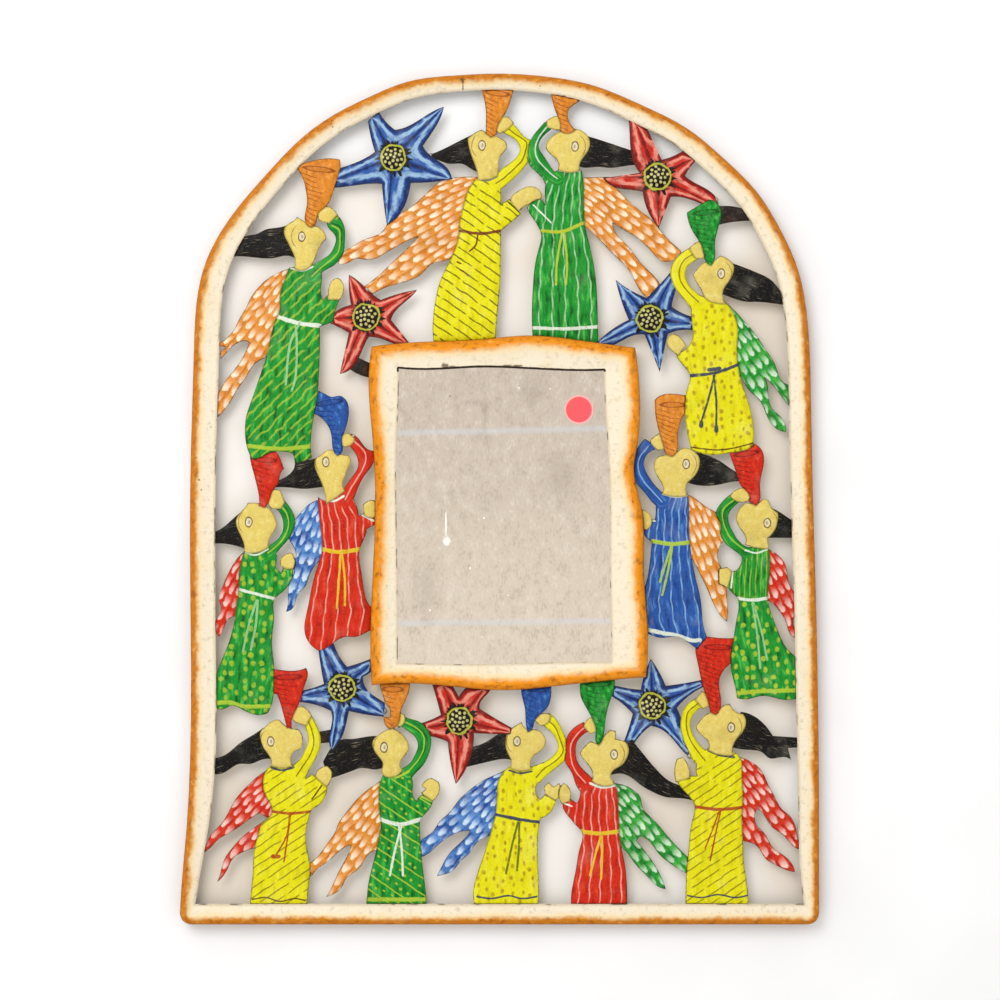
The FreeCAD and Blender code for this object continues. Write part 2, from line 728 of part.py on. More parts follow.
ANGEL_MIDDLE_LEFT_INNER_PIXELS = (
    ("wing", (
        (322, 500), (311, 503), (303, 510), (296, 518), (286, 526), (288, 538), (294, 548), (296, 557),
        (288, 566), (290, 576), (288, 588), (288, 601), (286, 612), (293, 608), (299, 593), (305, 587),
        (309, 577), (315, 566), (328, 556), (330, 520),
    )),
    ("hair", (
        (320, 457), (308, 460), (294, 458), (291, 473), (284, 478), (272, 483), (272, 488), (292, 488),
        (307, 489), (316, 488), (330, 487), (326, 470),
    )),
    ("robe", (
        (318, 497), (325, 500), (333, 498), (342, 492), (350, 495), (356, 504), (359, 516), (364, 513),
        (376, 519), (375, 525), (367, 529), (365, 537), (360, 549), (361, 570), (364, 590), (370, 606),
        (377, 610), (377, 627), (364, 634), (356, 637), (346, 637), (338, 640), (330, 646), (319, 651),
        (310, 644), (305, 634), (305, 621), (308, 607), (312, 586), (318, 565), (322, 551), (321, 530),
        (319, 513),
    )),
    ("arm", (
        (351, 434), (358, 438), (364, 446), (374, 451), (374, 462), (369, 470), (362, 480), (357, 491),
        (352, 503), (338, 497), (345, 487), (352, 477), (358, 467), (358, 460), (355, 453), (347, 444),
    )),
    ("head", (
        (316, 458), (321, 455), (326, 451), (333, 450), (341, 454), (348, 455), (351, 461), (348, 469),
        (345, 477), (343, 484), (345, 491), (336, 498), (326, 504), (323, 487), (319, 477), (315, 467),
    )),
    ("hand", ((340, 441), (342, 436), (349, 433), (355, 439), (350, 446), (343, 447))),
    ("hand", ((364, 515), (363, 505), (368, 501), (377, 501), (377, 517), (370, 518))),
    ("horn", (
        (309, 390), (318, 391), (325, 394), (332, 397), (340, 396), (346, 400), (349, 409), (348, 420),
        (345, 431), (342, 440), (343, 450), (338, 456), (334, 452), (332, 441), (330, 430), (326, 423),
        (320, 417), (309, 413),
    )),
)
ANGEL_MIDDLE_RIGHT_INNER_PIXELS = (
    ("wing", (
        (684, 494), (696, 499), (705, 506), (714, 511), (728, 520), (730, 536), (721, 545), (718, 556),
        (721, 567), (730, 575), (727, 588), (728, 605), (727, 622), (718, 612), (711, 598), (706, 586),
        (700, 574), (694, 562), (682, 548), (678, 520),
    )),
    ("hair", (
        (694, 452), (709, 456), (718, 460), (727, 466), (745, 476), (745, 482), (727, 483), (718, 485),
        (703, 486), (686, 482), (686, 470),
    )),
    ("robe", (
        (655, 500), (656, 512), (655, 520), (646, 519), (641, 527), (645, 536), (652, 542), (650, 562),
        (646, 584), (641, 600), (641, 618), (643, 631), (653, 636), (663, 638), (674, 637), (687, 642),
        (697, 649), (707, 637), (703, 622), (701, 601), (696, 579), (692, 559), (690, 543), (689, 528),
        (689, 510), (688, 494), (676, 492), (663, 492),
    )),
    ("arm", (
        (645, 439), (639, 446), (634, 455), (631, 470), (637, 484), (645, 493), (652, 502), (661, 508),
        (668, 497), (654, 484), (648, 475), (644, 464), (648, 454), (656, 450), (650, 442),
    )),
    ("head", (
        (654, 465), (658, 457), (666, 455), (677, 452), (684, 448), (692, 450), (699, 457), (699, 468),
        (694, 477), (688, 483), (686, 491), (688, 496), (676, 497), (662, 494), (663, 486), (657, 476),
    )),
    ("hand", ((650, 441), (655, 436), (661, 433), (666, 440), (666, 449), (658, 451), (653, 446))),
    ("hand", ((634, 511), (644, 510), (651, 516), (652, 523), (647, 530), (634, 527))),
    ("horn", (
        (655, 400), (660, 396), (673, 394), (692, 396), (692, 408), (683, 417), (680, 426), (678, 436),
        (678, 450), (672, 457), (665, 454), (663, 444), (659, 431), (656, 418), (655, 408),
    )),
)
ANGEL_MIDDLE_LEFT_OUTER_PIXELS = (
    ("wing", (
        (244, 552), (236, 560), (230, 570), (226, 578), (222, 588), (219, 600), (221, 609), (217, 618),
        (215, 628), (219, 637), (224, 628), (228, 620), (235, 616), (246, 603), (250, 570),
    )),
    ("hair", (
        (243, 511), (234, 518), (225, 526), (217, 531), (205, 533), (208, 545), (226, 544), (236, 546),
        (248, 550), (250, 530),
    )),
    ("robe", (
        (244, 551), (241, 564), (239, 577), (239, 589), (237, 602), (235, 617), (228, 645), (221, 662),
        (216, 677), (215, 692), (214, 706), (224, 709), (231, 706), (243, 710), (257, 715), (268, 713),
        (273, 700), (274, 685), (274, 665), (272, 640), (274, 616), (275, 599), (284, 591), (290, 583),
        (293, 568), (285, 564), (281, 573), (276, 568), (277, 556), (268, 548), (256, 548),
    )),
    ("arm", (
        (282, 498), (289, 506), (294, 515), (295, 524), (292, 533), (288, 540), (281, 548), (273, 561),
        (256, 556), (262, 549), (270, 545), (278, 539), (283, 530), (283, 522), (281, 515), (274, 508),
    )),
    ("head", (
        (238, 516), (243, 510), (248, 503), (256, 503), (264, 505), (270, 509), (275, 517), (277, 526),
        (272, 535), (269, 547), (257, 553), (244, 552), (243, 541), (238, 530), (236, 522),
    )),
    ("hand", ((268, 503), (270, 494), (275, 489), (281, 491), (285, 502), (281, 509), (272, 509))),
    ("hand", ((281, 566), (281, 559), (286, 554), (292, 553), (295, 560), (294, 568), (286, 569))),
    ("horn", (
        (250, 452), (262, 448), (276, 452), (282, 463), (284, 469), (280, 476), (278, 484), (273, 491),
        (269, 502), (265, 508), (259, 506), (259, 496), (257, 486), (254, 474), (251, 463),
    )),
)
ANGEL_MIDDLE_RIGHT_OUTER_PIXELS = (
    ("wing", (
        (764, 548), (779, 556), (786, 566), (788, 579), (794, 592), (804, 603), (796, 614), (793, 621),
        (795, 629), (803, 639), (789, 632), (786, 622), (780, 612), (773, 604), (762, 596), (758, 570),
    )),
    ("hair", (
        (770, 508), (784, 515), (790, 519), (804, 524), (805, 538), (780, 538), (766, 538), (766, 524),
    )),
    ("robe", (
        (741, 552), (740, 566), (736, 571), (730, 571), (727, 580), (729, 589), (737, 598), (737, 618),
        (734, 636), (731, 655), (731, 669), (734, 682), (737, 698), (749, 699), (762, 696), (779, 699),
        (803, 695), (804, 678), (802, 664), (789, 651), (780, 636), (773, 618), (768, 600), (769, 580),
        (770, 562), (769, 548), (757, 546),
    )),
    ("arm", (
        (733, 493), (725, 499), (719, 506), (716, 514), (720, 522), (721, 534), (725, 543), (732, 549),
        (742, 557), (752, 548), (738, 540), (733, 532), (729, 523), (729, 514), (734, 507), (742, 500),
    )),
    ("head", (
        (736, 517), (740, 508), (748, 503), (757, 504), (762, 500), (769, 501), (772, 508), (778, 513),
        (777, 525), (773, 533), (768, 538), (769, 549), (756, 548), (745, 545), (745, 536), (739, 527),
    )),
    ("hand", ((730, 496), (736, 490), (744, 488), (751, 494), (749, 501), (738, 502))),
    ("hand", ((719, 569), (727, 567), (732, 571), (730, 580), (728, 588), (719, 584))),
    ("horn", (
        (728, 444), (745, 442), (761, 449), (764, 458), (762, 473), (760, 487), (760, 500), (756, 506),
        (749, 502), (747, 492), (741, 486), (738, 479), (734, 466), (730, 455),
    )),
)
ANGEL_BOTTOM_1_PIXELS = (
    ("wing", (
        (267, 770), (258, 776), (246, 787), (235, 800), (230, 809), (220, 825), (210, 836), (206, 845),
        (196, 855), (213, 845), (219, 839), (228, 834), (243, 824), (259, 813), (268, 818), (252, 829),
        (243, 836), (232, 848), (224, 860), (221, 870), (217, 882), (224, 875), (228, 868), (232, 860),
        (241, 853), (255, 848), (266, 848), (285, 820), (285, 785),
    )),
    ("hair", (
        (263, 728), (253, 735), (240, 743), (228, 753), (213, 758), (208, 772), (230, 769), (239, 764),
        (250, 764), (261, 760), (274, 760), (274, 740),
    )),
    ("robe", (
        (271, 765), (265, 773), (263, 784), (266, 796), (272, 808), (271, 815), (262, 823), (259, 832),
        (255, 846), (253, 870), (251, 893), (250, 910), (307, 910), (309, 885), (310, 865), (307, 848),
        (306, 833), (309, 818), (312, 810), (319, 805), (325, 797), (327, 784), (320, 779), (312, 774),
        (306, 779), (298, 768), (283, 762),
    )),
    ("arm", (
        (311, 714), (316, 724), (320, 734), (321, 742), (319, 751), (315, 760), (310, 769), (305, 780),
        (286, 778), (291, 767), (300, 759), (305, 750), (308, 741), (307, 732), (304, 722),
    )),
    ("head", (
        (261, 731), (266, 726), (272, 721), (280, 720), (286, 726), (298, 729), (303, 740), (300, 749),
        (294, 752), (291, 759), (293, 766), (281, 768), (271, 765), (270, 757), (265, 750), (261, 741),
    )),
    ("hand", (
        (291, 716), (296, 708), (302, 706), (308, 710), (312, 716), (306, 726), (300, 724), (293, 720),
    )),
    ("hand", ((315, 777), (320, 768), (327, 766), (332, 772), (331, 780), (327, 787))),
    ("horn", (
        (268, 668), (280, 670), (290, 671), (306, 668), (308, 675), (305, 685), (302, 695), (299, 704),
        (295, 712), (292, 728), (287, 728), (284, 716), (281, 705), (277, 694), (268, 693),
    )),
)
ANGEL_BOTTOM_2_PIXELS = (
    ("wing", (
        (384, 778), (373, 786), (359, 797), (352, 805), (345, 814), (339, 822), (335, 832), (329, 841),
        (316, 858), (302, 866), (303, 878), (310, 877), (317, 869), (326, 863), (341, 850), (351, 845),
        (346, 858), (337, 875), (333, 884), (326, 897), (334, 894), (342, 887), (346, 879), (355, 872),
        (361, 866), (368, 855), (384, 852), (392, 820), (392, 790),
    )),
    ("hair", (
        (377, 736), (365, 737), (352, 739), (340, 740), (331, 748), (323, 762), (326, 769), (331, 778),
        (341, 775), (352, 771), (362, 768), (370, 769), (385, 766), (386, 750),
    )),
    ("robe", (
        (383, 775), (380, 784), (379, 797), (380, 812), (381, 824), (379, 838), (374, 860), (369, 880),
        (367, 896), (366, 910), (427, 910), (426, 892), (423, 868), (421, 848), (420, 830), (421, 820),
        (428, 811), (433, 799), (427, 794), (420, 796), (417, 801), (413, 795), (413, 782), (406, 771),
        (395, 768),
    )),
    ("arm", (
        (402, 715), (411, 719), (420, 722), (427, 729), (431, 737), (431, 747), (428, 757), (422, 767),
        (415, 774), (410, 784), (396, 774), (403, 768), (410, 763), (415, 755), (418, 746), (416, 738),
        (411, 733), (399, 724),
    )),
    ("head", (
        (373, 741), (378, 735), (386, 730), (393, 728), (401, 733), (407, 740), (409, 749), (404, 757),
        (401, 762), (403, 770), (396, 776), (386, 777), (382, 769), (383, 764), (379, 757), (374, 750),
    )),
    ("hand", ((394, 718), (398, 711), (405, 715), (405, 721), (399, 728))),
    ("hand", (
        (421, 793), (426, 789), (422, 786), (425, 781), (432, 778), (439, 782), (440, 789), (433, 801),
    )),
    ("horn", (
        (379, 678), (394, 678), (409, 678), (408, 695), (404, 704), (401, 712), (400, 720), (396, 727),
        (390, 729), (385, 724), (384, 714), (385, 705), (382, 692),
    )),
)
ANGEL_BOTTOM_3_PIXELS = (
    ("wing", (
        (507, 769), (495, 775), (484, 780), (471, 789), (459, 800), (448, 814), (440, 821), (434, 830),
        (424, 838), (415, 845), (415, 857), (428, 854), (437, 846), (446, 839), (460, 832), (470, 831),
        (461, 842), (449, 854), (443, 864), (437, 876), (446, 874), (454, 870), (460, 862), (468, 855),
        (479, 841), (495, 833), (506, 815), (512, 785),
    )),
    ("hair", (
        (513, 729), (502, 732), (494, 737), (484, 743), (468, 747), (463, 768), (479, 764), (492, 761),
        (503, 759), (516, 762), (518, 745),
    )),
    ("robe", (
        (509, 767), (502, 774), (498, 784), (497, 796), (496, 812), (493, 825), (487, 845), (480, 866),
        (475, 882), (476, 910), (537, 910), (539, 885), (538, 865), (538, 845), (539, 828), (541, 818),
        (549, 814), (554, 807), (556, 800), (546, 793), (541, 799), (537, 795), (536, 788), (543, 778),
        (534, 768), (522, 764),
    )),
    ("arm", (
        (549, 713), (557, 720), (562, 729), (566, 738), (570, 748), (567, 758), (559, 766), (549, 774),
        (540, 783), (526, 773), (534, 766), (544, 762), (553, 756), (558, 748), (556, 739), (551, 732),
        (543, 725),
    )),
    ("head", (
        (506, 740), (509, 731), (515, 726), (522, 722), (528, 729), (538, 730), (544, 735), (546, 743),
        (542, 750), (535, 755), (531, 762), (532, 769), (521, 771), (510, 768), (511, 760), (507, 751),
    )),
    ("hand", ((535, 721), (538, 715), (545, 713), (551, 715), (548, 723), (541, 726))),
    ("hand", (
        (545, 794), (544, 787), (549, 782), (554, 787), (559, 783), (564, 789), (562, 796), (555, 800),
    )),
    ("horn", (
        (523, 680), (536, 680), (551, 680), (551, 698), (548, 707), (541, 714), (535, 721), (533, 728),
        (528, 732), (526, 724), (525, 708), (522, 696),
    )),
)
ANGEL_BOTTOM_4_PIXELS = (
    ("wing", (
        (612, 783), (624, 785), (634, 790), (641, 798), (643, 808), (650, 816), (658, 824), (667, 835),
        (676, 845), (687, 856), (694, 862), (694, 874), (680, 870), (670, 863), (661, 856), (652, 844),
        (640, 836), (637, 841), (649, 856), (657, 868), (666, 889), (656, 885), (648, 877), (634, 862),
        (626, 851), (608, 845), (604, 810),
    )),
    ("hair", (
        (623, 746), (632, 740), (642, 752), (651, 763), (660, 773), (668, 780), (682, 786), (694, 790),
        (694, 801), (677, 798), (666, 797), (653, 792), (641, 785), (632, 778), (611, 775), (612, 762),
    )),
    ("robe", (
        (592, 779), (582, 787), (580, 796), (577, 803), (571, 799), (563, 802), (564, 810), (570, 818),
        (577, 826), (582, 832), (580, 848), (576, 870), (572, 890), (572, 910), (627, 910), (627, 882),
        (624, 858), (620, 840), (619, 820), (618, 800), (617, 788), (611, 779),
    )),
    ("arm", (
        (584, 722), (575, 727), (568, 735), (566, 743), (566, 753), (565, 761), (571, 771), (575, 782),
        (583, 794), (600, 788), (585, 771), (578, 762), (576, 753), (577, 743), (582, 736), (590, 731),
    )),
    ("head", (
        (580, 753), (586, 745), (591, 741), (598, 744), (604, 736), (610, 730), (616, 731), (616, 739),
        (625, 741), (629, 749), (627, 758), (622, 765), (614, 770), (611, 777), (615, 784), (603, 786),
        (592, 781), (591, 769), (585, 761),
    )),
    ("hand", ((584, 727), (587, 720), (593, 717), (597, 725), (597, 732), (590, 734))),
    ("hand", ((562, 804), (559, 796), (560, 788), (564, 783), (569, 787), (570, 801))),
    ("horn", (
        (582, 674), (598, 674), (614, 674), (614, 690), (610, 702), (607, 713), (605, 727), (603, 739),
        (599, 745), (596, 742), (596, 731), (592, 718), (586, 707), (581, 697), (580, 688),
    )),
)
ANGEL_BOTTOM_5_PIXELS = (
    ("wing", (
        (736, 756), (750, 761), (762, 771), (768, 784), (774, 795), (782, 809), (790, 816), (796, 828),
        (798, 838), (808, 850), (792, 845), (782, 834), (772, 827), (764, 815), (757, 809), (758, 826),
        (766, 835), (772, 846), (782, 854), (795, 872), (784, 869), (774, 864), (766, 859), (757, 846),
        (748, 842), (730, 836), (728, 790),
    )),
    ("hair", (
        (741, 712), (752, 715), (762, 722), (773, 736), (804, 738), (805, 747), (788, 748), (791, 760),
        (783, 757), (769, 758), (763, 753), (751, 750), (730, 746), (733, 728),
    )),
    ("robe", (
        (709, 748), (700, 756), (697, 776), (689, 776), (676, 780), (681, 787), (688, 795), (694, 803),
        (692, 822), (689, 846), (687, 868), (686, 910), (748, 910), (747, 884), (744, 862), (743, 840),
        (742, 815), (743, 795), (742, 772), (740, 757), (732, 751), (720, 747),
    )),
    ("arm", (
        (697, 698), (690, 702), (684, 709), (681, 719), (681, 731), (684, 741), (688, 750), (693, 760),
        (701, 766), (716, 756), (702, 747), (695, 738), (691, 728), (692, 718), (698, 710), (706, 706),
    )),
    ("head", (
        (696, 726), (703, 717), (709, 713), (718, 713), (723, 706), (730, 704), (735, 711), (743, 714),
        (746, 723), (742, 733), (736, 740), (733, 747), (733, 755), (720, 755), (708, 750), (707, 740),
        (700, 734),
    )),
    ("hand", ((695, 700), (702, 691), (709, 695), (710, 706), (703, 709))),
    ("hand", ((676, 782), (675, 766), (677, 759), (683, 757), (688, 764), (690, 778))),
    ("horn", (
        (696, 645), (704, 636), (718, 638), (738, 638), (737, 660), (725, 669), (720, 678), (720, 692),
        (721, 706), (716, 715), (710, 712), (708, 702), (704, 690), (701, 679), (698, 664),
    )),
)

# The star flowers: outline of the five arms, then the middle of the dome
STAR_1_PIXELS = (
    (368, 121), (379, 112), (386, 122), (395, 130), (404, 128), (421, 119), (444, 107), (441, 117),
    (432, 133), (423, 146), (434, 158), (444, 165), (452, 179), (434, 182), (411, 183), (406, 203),
    (400, 214), (387, 225), (384, 205), (382, 184), (369, 184), (352, 186), (330, 188), (334, 170),
    (350, 165), (364, 159), (375, 152), (371, 138),
)
STAR_2_PIXELS = (
    (626, 108), (637, 112), (645, 124), (654, 143), (662, 160), (674, 156), (690, 146), (703, 154),
    (694, 163), (685, 176), (697, 184), (715, 196), (719, 208), (702, 204), (680, 197), (671, 197),
    (668, 205), (659, 228), (650, 215), (643, 192), (630, 190), (617, 188), (604, 178), (627, 175),
    (640, 173), (633, 160), (630, 137),
)
STAR_3_PIXELS = (
    (349, 275), (357, 280), (370, 292), (381, 300), (402, 293), (417, 290), (409, 299), (393, 315),
    (391, 320), (403, 335), (414, 349), (399, 346), (378, 338), (369, 337), (362, 351), (353, 367),
    (340, 374), (343, 360), (349, 333), (340, 328), (327, 322), (332, 315), (342, 308), (351, 305),
    (349, 290),
)
STAR_4_PIXELS = (
    (616, 280), (630, 290), (647, 298), (656, 289), (670, 273), (677, 283), (674, 297), (672, 307),
    (682, 313), (697, 318), (697, 331), (677, 331), (668, 334), (664, 352), (660, 372), (654, 357),
    (645, 335), (636, 335), (612, 346), (594, 346), (609, 332), (629, 320), (622, 302),
)
STAR_5_PIXELS = (
    (318, 644), (333, 641), (338, 654), (347, 667), (360, 663), (380, 655), (377, 665), (363, 677),
    (366, 688), (374, 696), (388, 706), (390, 717), (368, 715), (349, 711), (346, 725), (341, 739),
    (332, 750), (329, 737), (332, 722), (331, 711), (316, 705), (294, 702), (293, 692), (313, 688),
    (324, 684), (321, 668),
)
STAR_6_PIXELS = (
    (431, 680), (449, 679), (459, 697), (475, 682), (490, 680), (490, 691), (480, 704), (480, 709),
    (498, 720), (512, 728), (510, 734), (492, 734), (474, 733), (473, 748), (467, 767), (456, 784),
    (451, 764), (448, 742), (438, 738), (424, 736), (422, 723), (433, 719), (441, 715), (437, 700),
)
STAR_7_PIXELS = (
    (651, 659), (657, 668), (666, 686), (681, 684), (702, 680), (704, 687), (689, 696), (677, 708),
    (684, 726), (690, 745), (698, 762), (682, 750), (669, 735), (651, 726), (640, 736), (631, 750),
    (624, 742), (629, 728), (633, 714), (623, 704), (607, 694), (608, 684), (626, 688), (641, 690),
    (644, 677),
)
STAR_DOME_PIXELS = ((393, 158), (657, 177), (366, 317), (650, 319), (342, 688), (459, 720), (652, 706))

# Short strips of tin that tie figures which do not reach each other
TIE_TAB_PIXELS = (
    ((712, 207), (744, 209), (756, 214), (756, 221), (734, 222), (712, 227)),
    ((353, 355), (359, 358), (376, 366), (376, 378), (366, 377), (347, 367)),
    ((312, 733), (334, 729), (336, 742), (312, 744)),
)

ANGELS = {
    "angel_top_left": ANGEL_TOP_LEFT_PIXELS,
    "angel_top_right": ANGEL_TOP_RIGHT_PIXELS,
    "angel_upper_left": ANGEL_UPPER_LEFT_PIXELS,
    "angel_upper_right": ANGEL_UPPER_RIGHT_PIXELS,
    "angel_middle_left_inner": ANGEL_MIDDLE_LEFT_INNER_PIXELS,
    "angel_middle_right_inner": ANGEL_MIDDLE_RIGHT_INNER_PIXELS,
    "angel_middle_left_outer": ANGEL_MIDDLE_LEFT_OUTER_PIXELS,
    "angel_middle_right_outer": ANGEL_MIDDLE_RIGHT_OUTER_PIXELS,
    "angel_bottom_1": ANGEL_BOTTOM_1_PIXELS,
    "angel_bottom_2": ANGEL_BOTTOM_2_PIXELS,
    "angel_bottom_3": ANGEL_BOTTOM_3_PIXELS,
    "angel_bottom_4": ANGEL_BOTTOM_4_PIXELS,
    "angel_bottom_5": ANGEL_BOTTOM_5_PIXELS,
}
STARS = {
    "star_1": STAR_1_PIXELS,
    "star_2": STAR_2_PIXELS,
    "star_3": STAR_3_PIXELS,
    "star_4": STAR_4_PIXELS,
    "star_5": STAR_5_PIXELS,
    "star_6": STAR_6_PIXELS,
    "star_7": STAR_7_PIXELS,
}
# What lies in front of each figure's edge and cuts it back: a region of a neighbour, the rim or the frame
CUT_BACK_BY = {
    "angel_top_left": ("rim", "frame", "star_1 arms", "star_3 arms", "angel_top_right arm",
                       "angel_top_right robe", "angel_upper_left arm"),
    "angel_top_right": ("rim", "frame", "star_2 arms", "star_4 arms", "angel_upper_right arm"),
    "angel_upper_left": ("rim",),
    "angel_upper_right": ("rim",),
    "angel_middle_left_inner": ("frame", "angel_upper_left robe", "angel_middle_left_outer horn",
                                "angel_middle_left_outer arm", "angel_middle_left_outer hand 2",
                                "angel_middle_left_outer robe"),
    "angel_middle_right_inner": ("frame", "angel_upper_right robe", "angel_middle_right_outer horn",
                                 "angel_middle_right_outer arm", "angel_middle_right_outer hand 2"),
    "angel_middle_left_outer": ("rim", "angel_upper_left robe"),
    "angel_middle_right_outer": ("rim", "angel_upper_right robe"),
    "angel_bottom_1": ("rim", "angel_middle_left_outer robe"),
    "angel_bottom_2": ("rim", "frame", "star_5 arms", "angel_bottom_1 hand 2", "angel_bottom_1 robe"),
    "angel_bottom_3": ("rim", "frame", "star_6 arms", "angel_bottom_2 robe", "angel_bottom_4 arm",
                       "angel_bottom_4 hand 2"),
    "angel_bottom_4": ("rim", "frame", "angel_bottom_5 robe"),
    "angel_bottom_5": ("rim", "angel_middle_right_inner robe", "angel_middle_right_outer robe"),
    "star_1": ("rim", "angel_upper_left horn"),
    "star_2": ("rim", "angel_upper_right horn"),
    "star_3": ("frame", "angel_upper_left robe"),
    "star_4": ("frame", "angel_upper_right arm", "angel_upper_right robe"),
    "star_5": ("frame", "angel_middle_left_inner robe", "angel_bottom_1 horn", "angel_bottom_2 horn"),
    "star_6": ("frame", "angel_bottom_2 arm"),
    "star_7": ("frame", "angel_bottom_4 horn", "angel_bottom_4 hair", "angel_bottom_4 head",
               "angel_bottom_5 arm", "angel_bottom_5 horn"),
    "tie_tab_1": ("rim", "angel_upper_right horn"),
    "tie_tab_2": ("frame", "star_3 arms"),
    "tie_tab_3": ("angel_bottom_1 arm", "star_5 arms"),
}


def region_names(name, regions):
    """Each region's name: the figure and the kind, with a number from the second of a kind on."""
    names = []
    seen = {}
    for kind, pixels in regions:
        seen[kind] = seen.get(kind, 0) + 1
        suffix = "" if seen[kind] == 1 else f" {seen[kind]}"
        names.append(f"{name} {kind}{suffix}")
    return names


REGIONS = {}
for name, regions in ANGELS.items():
    for region_name, (kind, pixels) in zip(region_names(name, regions), regions):
        REGIONS[region_name] = (kind, pixels)
for name, pixels in STARS.items():
    REGIONS[f"{name} arms"] = ("star", pixels)
for count, pixels in enumerate(TIE_TAB_PIXELS, start=1):
    REGIONS[f"tie_tab_{count}"] = ("tab", pixels)


def trimmer(name):
    """The block that cuts neighbours back to one region, the rim or the frame."""
    if name == "rim":
        return rim_block
    if name == "frame":
        return frame_block
    object_name = name.replace(" ", "_")
    block = doc.getObject(f"{object_name}_trimmer")
    if block is None:
        kind, pixels = REGIONS[name]
        block = region(object_name, kind, pixels, full_depth=True)
    return block


def figure(name, solid):
    """A figure cut back to its neighbours, kept under its name."""
    return node(name, trimmed(name, solid, [trimmer(item) for item in CUT_BACK_BY[name]]))


# The thirteen angels
for name, regions in ANGELS.items():
    sheets = []
    for region_name, (kind, pixels) in zip(region_names(name, regions), regions):
        sheets.append(region(region_name.replace(" ", "_"), kind, pixels))
    body = doc.addObject("Part::MultiFuse", f"{name}_sheet")
    body.Shapes = sheets
    figure(name, body)

# The seven star flowers, each with a pressed dome on its arms
dome_sunk = size("dome_radius") * math.tan(math.radians(size("dome_flat_angle")))
star_level = tin + size("relief_step") * RELIEF_LEVELS["star"]
for (name, pixels), middle in zip(STARS.items(), STAR_DOME_PIXELS):
    arms = region(f"{name}_arms", "star", pixels)
    dome = bound(
        "Part::Sphere",
        f"{name}_dome",
        FreeCAD.Placement(spot(*middle, figure_back + star_level - dome_sunk), forward),
        Radius="sizes.dome_radius / cos(sizes.dome_flat_angle)",
        Angle1="sizes.dome_flat_angle",
    )
    body = doc.addObject("Part::MultiFuse", f"{name}_sheet")
    body.Shapes = [arms, dome]
    figure(name, body)

# Tie tabs, one node of separate strips
tabs = []
for count, pixels in enumerate(TIE_TAB_PIXELS, start=1):
    name = f"tie_tab_{count}"
    strip = region(name, "tab", pixels)
    tabs.append(trimmed(name, strip, [trimmer(item) for item in CUT_BACK_BY[name]]))
tie_tabs = doc.addObject("Part::Compound", "tie_tabs")
tie_tabs.Links = tabs
node("tie_tabs", tie_tabs)

# Beads of solder on the back, where two figures meet
SOLDER_PIXELS = (
    (531, 147), (541, 203), (340, 260), (431, 156), (340, 172), (445, 180), (638, 158), (622, 186),
    (716, 200), (677, 256), (331, 320), (366, 290), (650, 296), (693, 322), (316, 402), (304, 462),
    (262, 456), (280, 483), (294, 522), (293, 572), (686, 400), (692, 451), (740, 448), (738, 478),
    (721, 528), (724, 576), (702, 643), (731, 652), (274, 682), (301, 697), (326, 648), (384, 711),
    (328, 768), (309, 870), (334, 745), (429, 729), (421, 848), (510, 731), (469, 758), (567, 748),
    (561, 792), (613, 690), (629, 742), (688, 794), (687, 864), (690, 756),
)
bead_sunk = size("bead_radius") * math.sin(math.radians(size("bead_flat_angle")))
backward = FreeCAD.Rotation(Vector(1, 0, 0), -90)
beads = []
for count, pixels in enumerate(SOLDER_PIXELS, start=1):
    bead = bound(
        "Part::Sphere",
        f"solder_bead_{count}",
        FreeCAD.Placement(spot(*pixels, figure_back + bead_sunk), backward),
        Radius="sizes.bead_radius",
        Angle1="sizes.bead_flat_angle",
    )
    beads.append(bead)
solder = doc.addObject("Part::Compound", "solder_beads")
solder.Links = beads
node("solder_beads", solder)

# Build everything, look for failures and write one STEP file for each piece
doc.recompute()
for item in doc.Objects:
    if "Invalid" in item.State or "Error" in item.State:
        raise RuntimeError(f"{item.Name} failed: {item.State}")
os.makedirs("parts", exist_ok=True)
for piece in NODES:
    shape = piece.Shape
    if shape.isNull() or not shape.isValid():
        raise RuntimeError(f"{piece.Label} has no valid shape")
for piece in NODES:
    shape = piece.Shape
    print(piece.Label, "solids", len(shape.Solids), "volume", round(shape.Volume, 1))
    shape.exportStep(f"parts/{piece.Label}.step")
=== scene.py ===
"""Looks of the painted tin mirror: pressed and enamelled tin figures round a framed glass, on a pale wall."""
import json
import math
import random

import bmesh
import bpy
import numpy as np
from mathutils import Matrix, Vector, noise
from mathutils.bvhtree import BVHTree
from mathutils.geometry import delaunay_2d_cdt
from mathutils.kdtree import KDTree

